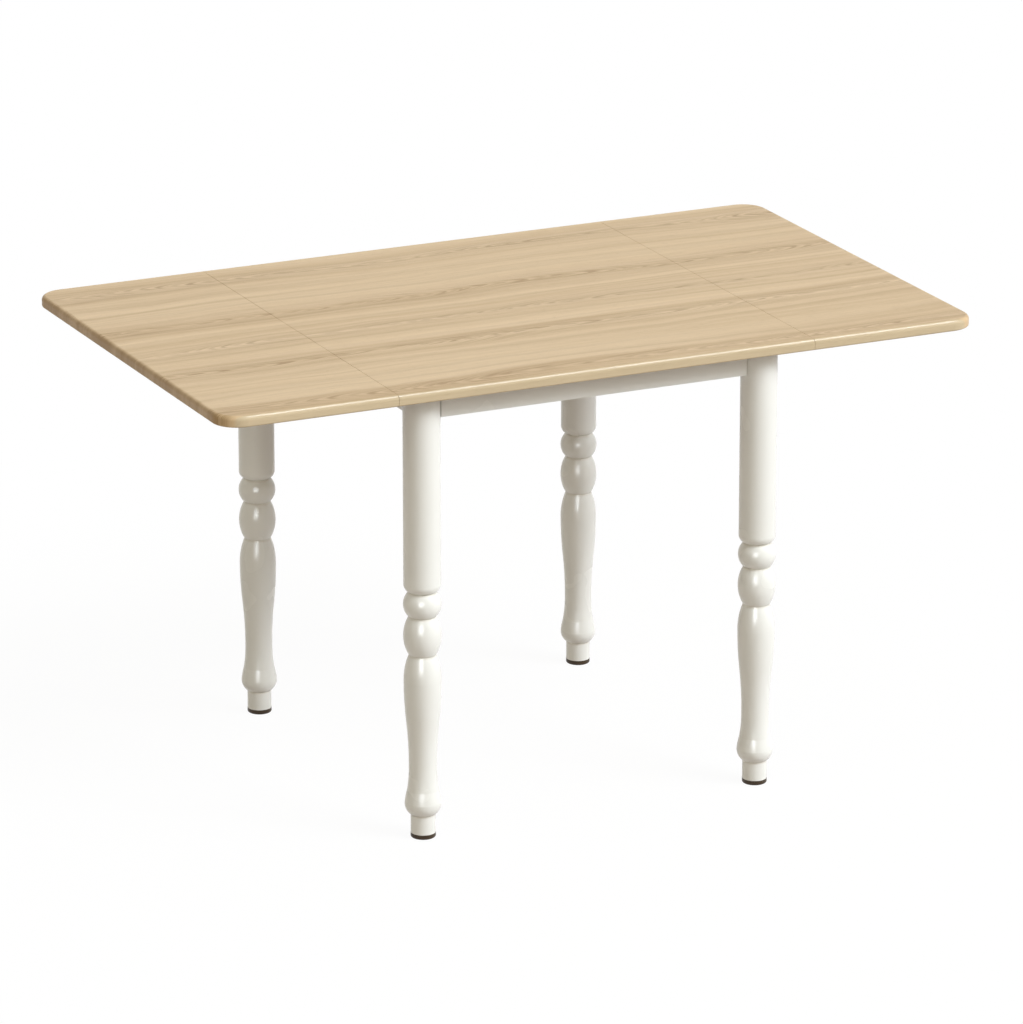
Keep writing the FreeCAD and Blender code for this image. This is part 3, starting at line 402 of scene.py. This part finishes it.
def sprayed_white_enamel(enamel):
    """White enamel sprayed on sanded wood: smooth and bright, with painted shade in the turned grooves."""
    material, tree = new_material("sprayed_white_enamel")
    place = add(tree, "ShaderNodeTexCoord").outputs["Object"]
    height = add(tree, "ShaderNodeSeparateXYZ", {0: place}).outputs["Z"]
    # Painted shade: within reach of each turned groove the white darkens towards the groove colour
    groove_shade = 0.0
    for groove in GROOVES:
        off = add(tree, "ShaderNodeMath", {0: height, 1: groove}, operation="SUBTRACT").outputs[0]
        near = add(tree, "ShaderNodeMath", {0: off}, operation="ABSOLUTE").outputs[0]
        spot = add(tree, "ShaderNodeMapRange", {"Value": near, "From Min": 0, "From Max": GROOVE_SHADE_REACH,
                                                "To Min": 0.8, "To Max": 0},
                   interpolation_type="SMOOTHSTEP").outputs[0]
        groove_shade = add(tree, "ShaderNodeMath", {0: spot, 1: groove_shade}, operation="MAXIMUM").outputs[0]
    cloud = add(tree, "ShaderNodeTexNoise", {"Vector": place, "Scale": 1 / (90 * MM), "Detail": 2}).outputs[0]
    shade = add(tree, "ShaderNodeMapRange", {"Value": cloud, "From Min": 0.3, "From Max": 0.75,
                                             "To Max": 0.06}).outputs[0]
    # A faint random cloud of tone, with the painted groove shade where that is darker
    shade = add(tree, "ShaderNodeMath", {0: shade, 1: groove_shade}, operation="MAXIMUM").outputs[0]
    paint = add(tree, "ShaderNodeMix",
                {SHARE: shade, FIRST: opaque(enamel.paint), SECOND: opaque(enamel.groove)},
                data_type="RGBA").outputs[MIXED]
    # The peel of a sprayed coat, drawn a little coarser than it is so that it shows
    peel = add(tree, "ShaderNodeTexNoise", {"Vector": place, "Scale": 1 / enamel.peel,
                                            "Detail": 1}).outputs[0]
    bump = add(tree, "ShaderNodeBump", {"Strength": 0.05, "Distance": 0.15 * MM, "Height": peel}).outputs[0]
    sheen = add(tree, "ShaderNodeMapRange", {"Value": cloud, "From Min": 0.3, "From Max": 0.7,
                                             "To Min": 0.22, "To Max": 0.28}).outputs[0]
    shader = add(tree, "ShaderNodeBsdfPrincipled", {"Base Color": paint, "Roughness": sheen, "IOR": 1.5,
                                                    "Normal": bump}).outputs[0]
    add(tree, "ShaderNodeOutputMaterial", {"Surface": shader})
    return material


def zinc_plated_steel(hardware):
    """Rolled steel plated in a zinc bath: grey, softly mottled, with faint rolling lines."""
    material, tree = new_material("zinc_plated_steel")
    place = add(tree, "ShaderNodeTexCoord").outputs["Object"]
    crystals = add(tree, "ShaderNodeTexVoronoi", {"Vector": place, "Scale": 1 / (2.2 * MM)}).outputs["Color"]
    mottle = add(tree, "ShaderNodeTexNoise", {"Vector": place, "Scale": 1 / (9 * MM), "Detail": 3}).outputs[0]
    lines = add(tree, "ShaderNodeVectorMath", {0: place, 1: (1 / (30 * MM), 1 / (0.7 * MM), 1 / (0.7 * MM))},
                operation="MULTIPLY").outputs[0]
    rolled = add(tree, "ShaderNodeTexNoise", {"Vector": lines, "Scale": 1, "Detail": 1}).outputs[0]
    mixed = add(tree, "ShaderNodeMath", {0: crystals, 1: 0.3, 2: mottle}, operation="MULTIPLY_ADD").outputs[0]
    tone = add(tree, "ShaderNodeMapRange", {"Value": mixed, "From Min": 0.4, "From Max": 0.95}).outputs[0]
    plate = add(tree, "ShaderNodeMix",
                {SHARE: tone, FIRST: opaque(hardware.zinc), SECOND: opaque(hardware.zinc_shade)},
                data_type="RGBA").outputs[MIXED]
    sheen = add(tree, "ShaderNodeMapRange", {"Value": mixed, "From Min": 0.4, "From Max": 0.95,
                                             "To Min": 0.28, "To Max": 0.44}).outputs[0]
    bump = add(tree, "ShaderNodeBump", {"Strength": 0.1, "Distance": 0.1 * MM, "Height": rolled}).outputs[0]
    shader = add(tree, "ShaderNodeBsdfPrincipled", {"Base Color": plate, "Metallic": 1.0, "Roughness": sheen,
                                                    "Normal": bump}).outputs[0]
    add(tree, "ShaderNodeOutputMaterial", {"Surface": shader})
    return material


def grained_coat(name, pale, dark, grit, relief, roughness, gloss, subsurface):
    """A coat or moulding with a fine grain of one size: powder coat, nylon and moulded feet."""
    material, tree = new_material(name)
    place = add(tree, "ShaderNodeTexCoord").outputs["Object"]
    grain = add(tree, "ShaderNodeTexNoise", {"Vector": place, "Scale": 1 / grit, "Detail": 2}).outputs[0]
    cloud = add(tree, "ShaderNodeTexNoise", {"Vector": place, "Scale": 1 / (18 * MM), "Detail": 2}).outputs[0]
    tone = add(tree, "ShaderNodeMath", {0: grain, 1: cloud}, operation="MULTIPLY").outputs[0]
    spread = add(tree, "ShaderNodeMapRange", {"Value": tone, "From Min": 0.12, "From Max": 0.42}).outputs[0]
    body = add(tree, "ShaderNodeMix", {SHARE: spread, FIRST: pale, SECOND: dark},
               data_type="RGBA").outputs[MIXED]
    sheen = add(tree, "ShaderNodeMapRange", {"Value": cloud, "From Min": 0.3, "From Max": 0.7,
                                             "To Min": roughness - 0.05,
                                             "To Max": roughness + 0.06}).outputs[0]
    bump = add(tree, "ShaderNodeBump", {"Strength": 0.2, "Distance": relief, "Height": grain}).outputs[0]
    depth = (2 * MM, 2 * MM, 1.6 * MM)
    shader = add(tree, "ShaderNodeBsdfPrincipled", {"Base Color": body, "Roughness": sheen, "Normal": bump,
                                                    "Specular IOR Level": gloss,
                                                    "Subsurface Weight": subsurface,
                                                    "Subsurface Radius": depth}).outputs[0]
    add(tree, "ShaderNodeOutputMaterial", {"Surface": shader})
    return material


def plated(context):
    """The one zinc plating that all plated pieces share."""
    return bpy.data.materials.get("zinc_plated_steel") or zinc_plated_steel(context.scene.table.hardware)


def darker(settings_colour, share):
    """A colour setting at a share of its light, with full alpha."""
    return (*(part * share for part in settings_colour), 1)


# Fine hardware

def solids_of(node):
    """The points of each separate solid in a CAD node.

    Every point starts with its own number, and each triangle hands its lowest number to its
    corners until nothing changes, so that one number is left for each solid.
    """
    mesh = frame["nodes"][node].data
    points = np.empty(len(mesh.vertices) * 3)
    mesh.vertices.foreach_get("co", points)
    points = points.reshape(-1, 3)
    mesh.calc_loop_triangles()
    corners = np.empty(len(mesh.loop_triangles) * 3, int)
    mesh.loop_triangles.foreach_get("vertices", corners)
    _, first, same = np.unique(np.round(points, 6), axis=0, return_index=True, return_inverse=True)
    corners = same.reshape(-1)[corners].reshape(-1, 3)
    number = np.arange(len(first))
    while True:
        lowest = number.copy()
        np.minimum.at(lowest, corners, number[corners].min(axis=1, keepdims=True))
        if (lowest == number).all():
            break
        number = lowest
    return [points[first[number == one]] for one in np.unique(number)]


def screw_place(points):
    """A screw's crown and its direction from tip to crown.

    The direction is the one along which its points spread most, and the crown is at the end
    where they stand further off the axis.
    """
    middle = (points.min(axis=0) + points.max(axis=0)) / 2
    _, _, spreads = np.linalg.svd(points - points.mean(axis=0), full_matrices=False)
    along = (points - middle) @ spreads[0]
    off = np.linalg.norm(points - middle - np.outer(along, spreads[0]), axis=1)
    near = 0.5 * MM
    if off[along > along.max() - near].max() > off[along < along.min() + near].max():
        return middle + spreads[0] * along.max(), spreads[0]
    return middle + spreads[0] * along.min(), -spreads[0]


def bolt_place(points):
    """The free end of a leg bolt or nut, which points from its leg to the middle of the table."""
    middle = (points.min(axis=0) + points.max(axis=0)) / 2
    inwards = -np.sign(middle) * (1, 1, 0) / math.sqrt(2)
    return middle + inwards * ((points - middle) @ inwards).max(), inwards


def upright(direction):
    """Three axes with the last along a direction, as columns."""
    side = np.cross(direction, (0, 0, 1) if abs(direction[2]) < 0.9 else (1, 0, 0))
    side = side / np.linalg.norm(side)
    return np.stack([side, np.cross(direction, side), direction], axis=1)


def around(stations):
    """Rows of (radius, height) as two grids with a column for each angle."""
    radius, height = np.asarray(stations, float).T
    return np.repeat(radius[:, None], TURN.size, axis=1), np.repeat(height[:, None], TURN.size, axis=1)


def thread(start, end, pitch, radius, depth, point_length):
    """Rows of a right-hand thread down from start to end, as grids of radius and height.

    The radius falls from the crest by a triangle wave of the height and the share of a turn, so
    that the ridge climbs one pitch in a turn, and shrinks to nothing over the point's length.
    """
    height = np.arange(start, end, -pitch / 6)[:, None] + 0 * TURN
    wave = np.abs((height / pitch - TURN / math.tau) % 1 - 0.5) * 2
    taper = np.clip((height - end) / point_length, 0, 1) if point_length else 1
    return (radius - depth * wave) * taper, height


def turned_shape(parts):
    """Points and faces of grids stacked from the crown down, closed to a point at both ends."""
    radius = np.concatenate([part[0] for part in parts])[::-1]
    height = np.concatenate([part[1] for part in parts])[::-1]
    points = np.stack([radius * np.cos(TURN), radius * np.sin(TURN), height], axis=-1)[1:-1].reshape(-1, 3)
    poles = np.array([(0, 0, height[0, 0]), (0, 0, height[-1, 0])])
    numbers = np.arange(len(points)).reshape(-1, TURN.size)
    ahead = np.roll(numbers, -1, axis=1)
    sides = np.stack([numbers[:-1], ahead[:-1], ahead[1:], numbers[1:]], axis=-1).reshape(-1, 4)
    tip, crown = np.full(TURN.size, len(points)), np.full(TURN.size, len(points) + 1)
    caps = np.concatenate([np.stack([tip, ahead[0], numbers[0]], axis=-1),
                           np.stack([crown, numbers[-1], ahead[-1]], axis=-1)])
    return np.concatenate([points, poles]), sides.tolist() + caps.tolist()


def cross_headed_screw(crown, neck, radius, reach, hardware):
    """A wood screw down from its crown at the origin, by rows of (radius, height) of crown and neck.

    The crown sinks into a cross where a point lies within half a slot's width of either slot's
    middle line and inside the slots' ends. The neck runs into a threaded shank with a point.
    """
    across, height = around(crown)
    east, north = np.abs(across * np.cos(TURN)), np.abs(across * np.sin(TURN))
    wall = 0.4 * MM
    in_slot = np.clip((hardware.recess_width / 2 + wall / 2 - np.minimum(east, north)) / wall, 0, 1)
    in_reach = np.clip((0.64 * across.max() - np.maximum(east, north)) / wall, 0, 1)
    sunk = across, height - hardware.recess_depth * in_slot * in_reach
    shank = thread(neck[-1][1] - 0.5 * MM, -reach, hardware.wood_pitch, radius, hardware.thread_depth,
                   3 * radius)
    return turned_shape([sunk, around(neck), shank, around([(0, -reach)])])


def round_headed_screw(hardware):
    """A bracket screw: the crown is a quarter of an ellipse turned round the axis."""
    head, rise, radius, reach = 3.8 * MM, 2.2 * MM, 2 * MM, 16.2 * MM
    share = np.array([0, 0.12, 0.2, 0.28, 0.36, 0.44, 0.52, 0.6, 0.68, 0.8, 0.9, 0.97, 1])
    crown = np.stack([head * share, rise * (np.sqrt(1 - share ** 2) - 1)], axis=1)
    return cross_headed_screw(crown, [(head, -rise - 0.01 * MM), (radius, -rise - 0.02 * MM)], radius, reach,
                              hardware)


def countersunk_screw(hardware):
    """A hinge screw: a flat crown with a narrow bevel over a cone."""
    head, depth, radius, reach = 3.3 * MM, 1.6 * MM, 1.75 * MM, 13.5 * MM
    share = np.array([0, 0.12, 0.2, 0.28, 0.36, 0.44, 0.52, 0.6, 0.68, 0.8, 0.94])
    crown = np.stack([head * share, 0 * share], axis=1)
    return cross_headed_screw(crown, [(head, -0.12 * MM), (radius, -depth)], radius, reach, hardware)


def hanger_bolt(hardware):
    """A leg bolt: machine thread with a bevelled end, a plain collar, and a wood thread in the leg."""
    radius, reach, grip, collar = 4 * MM, 67.6 * MM, 41 * MM, 4 * MM
    depth = hardware.thread_depth
    return turned_shape([
        around([(0, 0), (radius - depth, 0)]),
        thread(-0.6 * MM, -grip, hardware.bolt_pitch, radius, depth, 0),
        around([(radius, -grip - 0.2 * MM), (radius, -grip - collar)]),
        thread(-grip - collar - 0.2 * MM, -reach, hardware.wood_pitch, radius, depth, 6 * MM),
        around([(0, -reach)])])


def hexagon_nut(hardware):
    """A nut down from its outer face at the origin.

    Its profile is a closed ring at each angle: up the flats, in over the outer face, down the bore
    and out over the inner face. A flat's radius is half the width over the cosine of the angle off
    its middle, and a 30 degree cone at each face cuts off the corners.
    """
    half, rise, bore = 6.5 * MM, 6.5 * MM, 4 * MM
    bevel = 0.45 * MM
    sixth = math.tau / 6
    flat = half / np.cos((TURN + sixth / 2) % sixth - sixth / 2)
    up = np.array([0, 0.2, 0.4, 0.6, 0.9, 3.25, 5.6, 5.9, 6.1, 6.3, 6.5])[:, None] * MM
    cone = 0.97 * half + np.minimum(up, rise - up) * math.tan(math.radians(60))
    bore_radius, bore_height = around([(bore + bevel, rise), (bore, rise - bevel),
                                       (bore, bevel), (bore + bevel, 0)])
    radius = np.concatenate([np.minimum(flat, cone), bore_radius])
    height = np.concatenate([up + 0 * TURN, bore_height]) - rise
    points = np.stack([radius * np.cos(TURN), radius * np.sin(TURN), height], axis=-1)
    numbers = np.arange(radius.size).reshape(radius.shape)
    above = np.roll(numbers, -1, axis=0)
    faces = np.stack([numbers, np.roll(numbers, -1, axis=1), np.roll(above, -1, axis=1), above], axis=-1)
    return points.reshape(-1, 3), faces.reshape(-1, 4).tolist()


def fastener_piece(node, shape, find_place, material):
    """One piece with a copy of a shape at the place of each solid of a CAD node, which it replaces."""
    points, faces = shape
    placed, joined = [], []
    for number, solid in enumerate(solids_of(node)):
        end, direction = find_place(solid)
        placed.append(end + points @ upright(direction).T)
        joined += [[corner + number * len(points) for corner in face] for face in faces]
    mesh = bpy.data.meshes.new(f"fine_{node}")
    mesh.from_pydata(np.concatenate(placed).tolist(), [], joined, shade_flat=False)
    mesh.set_sharp_from_angle(angle=math.radians(35))
    mesh.materials.append(material)
    piece = bpy.data.objects.new(f"fine_{node}", mesh)
    bpy.context.scene.collection.objects.link(piece)
    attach(piece, frame["nodes"][node]["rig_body"])
    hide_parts(node)


# Operators

class TABLE_OT_dress_top(Operator):
    """Lay printed oak foil on the three panels of the top"""
    bl_idname = "table.dress_top"
    bl_label = "Top panels"

    def execute(self, context):
        dress(printed_oak_foil(context.scene.table.oak), *PANELS)
        return {"FINISHED"}


class TABLE_OT_paint_frame(Operator):
    """Spray the turned legs and the rails with white enamel"""
    bl_idname = "table.paint_frame"
    bl_label = "Legs and rails"

    def execute(self, context):
        dress(sprayed_white_enamel(context.scene.table.enamel), *PAINTED)
        return {"FINISHED"}


class TABLE_OT_mould_feet(Operator):
    """Give the feet their moulded plastic"""
    bl_idname = "table.mould_feet"
    bl_label = "Feet"

    def execute(self, context):
        foot = context.scene.table.hardware.foot
        plastic = grained_coat("moulded_dark_polypropylene", opaque(foot), darker(foot, 0.6),
                               0.8 * MM, 0.08 * MM, 0.42, 0.3, 0.0)
        dress(plastic, *(f"foot_{corner}" for corner in CORNERS))
        return {"FINISHED"}


class TABLE_OT_plate_brackets(Operator):
    """Plate the corner brackets, clips, washers, hinges and prop brackets with zinc"""
    bl_idname = "table.plate_brackets"
    bl_label = "Plated brackets and hinges"

    def execute(self, context):
        zinc = plated(context)
        dress(zinc, "top_clips", "leg_washers", *(f"corner_bracket_{corner}" for corner in CORNERS))
        for side in SIDES:
            dress(zinc, f"{side}_hinge_pins", f"{side}_prop_pins")
            dress(zinc, *(f"{side}_prop_bracket_{row}" for row in ROWS))
            dress(zinc, *(f"{side}_hinge_{row}_{owner}_flap" for row in ("front", "middle", "back")
                          for owner in ("frame", "leaf")))
        return {"FINISHED"}


class TABLE_OT_drive_screws(Operator):
    """Drive the round-headed bracket screws and the countersunk hinge screws"""
    bl_idname = "table.drive_screws"
    bl_label = "Screws"

    def execute(self, context):
        hardware = context.scene.table.hardware
        for nodes, shape in ((BRACKET_SCREWS, round_headed_screw(hardware)),
                             (HINGE_SCREWS, countersunk_screw(hardware))):
            for node in nodes:
                fastener_piece(node, shape, screw_place, plated(context))
        return {"FINISHED"}


class TABLE_OT_fit_leg_bolts(Operator):
    """Fit the threaded leg bolts and their hexagon nuts"""
    bl_idname = "table.fit_leg_bolts"
    bl_label = "Leg bolts and nuts"

    def execute(self, context):
        hardware = context.scene.table.hardware
        fastener_piece("leg_bolts", hanger_bolt(hardware), bolt_place, plated(context))
        fastener_piece("leg_nuts", hexagon_nut(hardware), bolt_place, plated(context))
        return {"FINISHED"}


class TABLE_OT_finish_props(Operator):
    """Powder-coat the prop bars and mould their sockets in nylon"""
    bl_idname = "table.finish_props"
    bl_label = "Leaf props"

    def execute(self, context):
        hardware = context.scene.table.hardware
        coat = grained_coat("white_powder_coated_steel", opaque(hardware.coat), darker(hardware.coat, 0.88),
                            1.1 * MM, 0.12 * MM, 0.38, 0.5, 0.0)
        nylon = grained_coat("moulded_white_nylon", opaque(hardware.nylon), darker(hardware.nylon, 0.86),
                             0.9 * MM, 0.06 * MM, 0.48, 0.5, 0.15)
        for side in SIDES:
            dress(coat, *(f"{side}_prop_{row}" for row in ROWS))
            dress(nylon, *(f"{side}_prop_socket_{row}" for row in ROWS))
        return {"FINISHED"}


class TABLE_OT_light_studio(Operator):
    """Set up the camera, the soft lamps, the pale floor and the white background"""
    bl_idname = "table.light_studio"
    bl_label = "Studio"

    def execute(self, context):
        scene = context.scene
        studio = scene.table.studio
        scene.view_settings.view_transform = "Standard"
        camera = bpy.data.objects.new("camera", bpy.data.cameras.new("camera"))
        camera.data.sensor_width = SENSOR_WIDTH
        camera.data.lens = studio.lens
        camera.data.clip_end = FAR_CLIP
        aim_at(camera, studio.camera_place, studio.camera_aim)
        scene.collection.objects.link(camera)
        scene.camera = camera
        key = soft_lamp("key", studio.key_power, studio.key_tint)
        side = soft_lamp("side", studio.side_power, studio.key_tint)
        left = soft_lamp("left", studio.left_power, studio.surround)
        fill = soft_lamp("fill", studio.fill_power, studio.surround)
        glint = soft_lamp("glint", studio.glint_power, studio.key_tint)
        shine = soft_lamp("shine", studio.shine_power, studio.key_tint)
        # The lamps that light the table would glare in its top, so they show in no reflection. The shine
        # shows in the round edges and the glint in the turned beads, and neither lights anything else
        for lamp in (key, side, left, fill):
            lamp.visible_glossy = False
        for lamp in (shine, glint):
            lamp.visible_diffuse = False
        painted = bpy.data.collections.new("painted_frame")
        for name in PAINTED:
            painted.objects.link(frame["nodes"][name])
        glint.light_linking.receiver_collection = painted
        white_surround(studio)
        pale_floor(studio)
        return {"FINISHED"}


def aim_at(thing, place, target):
    """Put a camera or lamp in its place and turn it to its target."""
    thing.location = place
    thing.rotation_euler = (Vector(target) - Vector(place)).to_track_quat("-Z", "Y").to_euler()


def soft_lamp(name, power, tint):
    """A new square soft box, in the place and of the width listed for it, that faces the table."""
    place, width = LAMPS[name]
    lamp = bpy.data.lights.new(f"{name}_lamp", "AREA")
    lamp.shape = "SQUARE"
    lamp.size = width
    lamp.energy = power
    lamp.color = tint
    holder = bpy.data.objects.new(f"{name}_lamp", lamp)
    aim_at(holder, place, LAMP_AIM)
    bpy.context.scene.collection.objects.link(holder)
    return holder


def seen_directly(tree):
    """1 where a ray comes from the camera, a reflection or a transparent piece."""
    path = add(tree, "ShaderNodeLightPath").outputs
    either = add(tree, "ShaderNodeMath", {0: path["Is Camera Ray"], 1: path["Is Glossy Ray"]},
                 operation="MAXIMUM").outputs[0]
    return add(tree, "ShaderNodeMath", {0: either, 1: path["Is Transmission Ray"]},
               operation="MAXIMUM").outputs[0]


def white_surround(studio):
    """A world that shows white and lights with its own tint and strength."""
    world = bpy.data.worlds.new("white_surround")
    bpy.context.scene.world = world
    world.use_nodes = True
    tree = world.node_tree
    tree.nodes.clear()
    lit = add(tree, "ShaderNodeBackground", {"Color": opaque(studio.surround),
                                             "Strength": studio.ambience}).outputs[0]
    white = add(tree, "ShaderNodeBackground", {"Color": WHITE, "Strength": 1}).outputs[0]
    shown = add(tree, "ShaderNodeMixShader", {0: seen_directly(tree), 1: lit, 2: white}).outputs[0]
    add(tree, "ShaderNodeOutputWorld", {"Surface": shown})


def pale_floor(studio):
    """A plain pale floor that keeps a soft shadow near the table and runs out to white."""
    reach = FLOOR_REACH
    mesh = bpy.data.meshes.new("floor")
    mesh.from_pydata([(-reach, -reach, 0), (reach, -reach, 0), (reach, reach, 0), (-reach, reach, 0)], [],
                     [(0, 1, 2, 3)])
    material, tree = new_material("pale_floor")
    place = add(tree, "ShaderNodeTexCoord").outputs["Object"]
    away = add(tree, "ShaderNodeVectorMath", {0: place}, operation="LENGTH").outputs["Value"]
    whiteness = add(tree, "ShaderNodeMapRange", {"Value": away, "From Min": SHADOW_NEAR,
                                                 "From Max": SHADOW_FAR, "To Min": 0.95, "To Max": 1.0},
                    interpolation_type="SMOOTHSTEP").outputs[0]
    seen = seen_directly(tree)
    share = add(tree, "ShaderNodeMath", {0: whiteness, 1: seen}, operation="MULTIPLY").outputs[0]
    tint = add(tree, "ShaderNodeMix",
               {SHARE: seen, FIRST: opaque(studio.floor), SECOND: opaque(studio.floor_seen)},
               data_type="RGBA").outputs[MIXED]
    matt = add(tree, "ShaderNodeBsdfDiffuse", {"Color": tint}).outputs[0]
    white = add(tree, "ShaderNodeEmission", {"Color": WHITE, "Strength": 1}).outputs[0]
    upper = add(tree, "ShaderNodeMixShader", {0: share, 1: matt, 2: white}).outputs[0]
    clear = add(tree, "ShaderNodeBsdfTransparent").outputs[0]
    behind = add(tree, "ShaderNodeNewGeometry").outputs["Backfacing"]
    shown = add(tree, "ShaderNodeMixShader", {0: behind, 1: upper, 2: clear}).outputs[0]
    add(tree, "ShaderNodeOutputMaterial", {"Surface": shown})
    mesh.materials.append(material)
    floor = bpy.data.objects.new("floor", mesh)
    bpy.context.scene.collection.objects.link(floor)


class TABLE_PT_finishes(Panel):
    """The table's finishes and studio"""
    bl_idname = "TABLE_PT_finishes"
    bl_label = "Drop-leaf table"
    bl_space_type = "VIEW_3D"
    bl_region_type = "UI"
    bl_category = "Table"

    def draw(self, context):
        settings = context.scene.table
        for group in (settings.oak, settings.enamel, settings.hardware, settings.studio):
            column = self.layout.column(align=True)
            for name in group.__annotations__:
                column.prop(group, name)
        for operator in OPERATORS:
            self.layout.operator(operator.bl_idname)


OPERATORS = (
    TABLE_OT_dress_top,
    TABLE_OT_paint_frame,
    TABLE_OT_mould_feet,
    TABLE_OT_plate_brackets,
    TABLE_OT_drive_screws,
    TABLE_OT_fit_leg_bolts,
    TABLE_OT_finish_props,
    TABLE_OT_light_studio,
)
CLASSES = (OakFoilSettings, EnamelSettings, HardwareSettings, StudioSettings, TableSettings, *OPERATORS,
           TABLE_PT_finishes)


def register():
    for one in CLASSES:
        bpy.utils.register_class(one)
    bpy.types.Scene.table = PointerProperty(type=TableSettings)


def unregister():
    del bpy.types.Scene.table
    for one in reversed(CLASSES):
        bpy.utils.unregister_class(one)


def main():
    """Dress the table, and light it."""
    register()
    bpy.ops.table.dress_top()
    bpy.ops.table.paint_frame()
    bpy.ops.table.mould_feet()
    bpy.ops.table.plate_brackets()
    bpy.ops.table.drive_screws()
    bpy.ops.table.fit_leg_bolts()
    bpy.ops.table.finish_props()
    bpy.ops.table.light_studio()


if __name__ == "__main__":
    main()
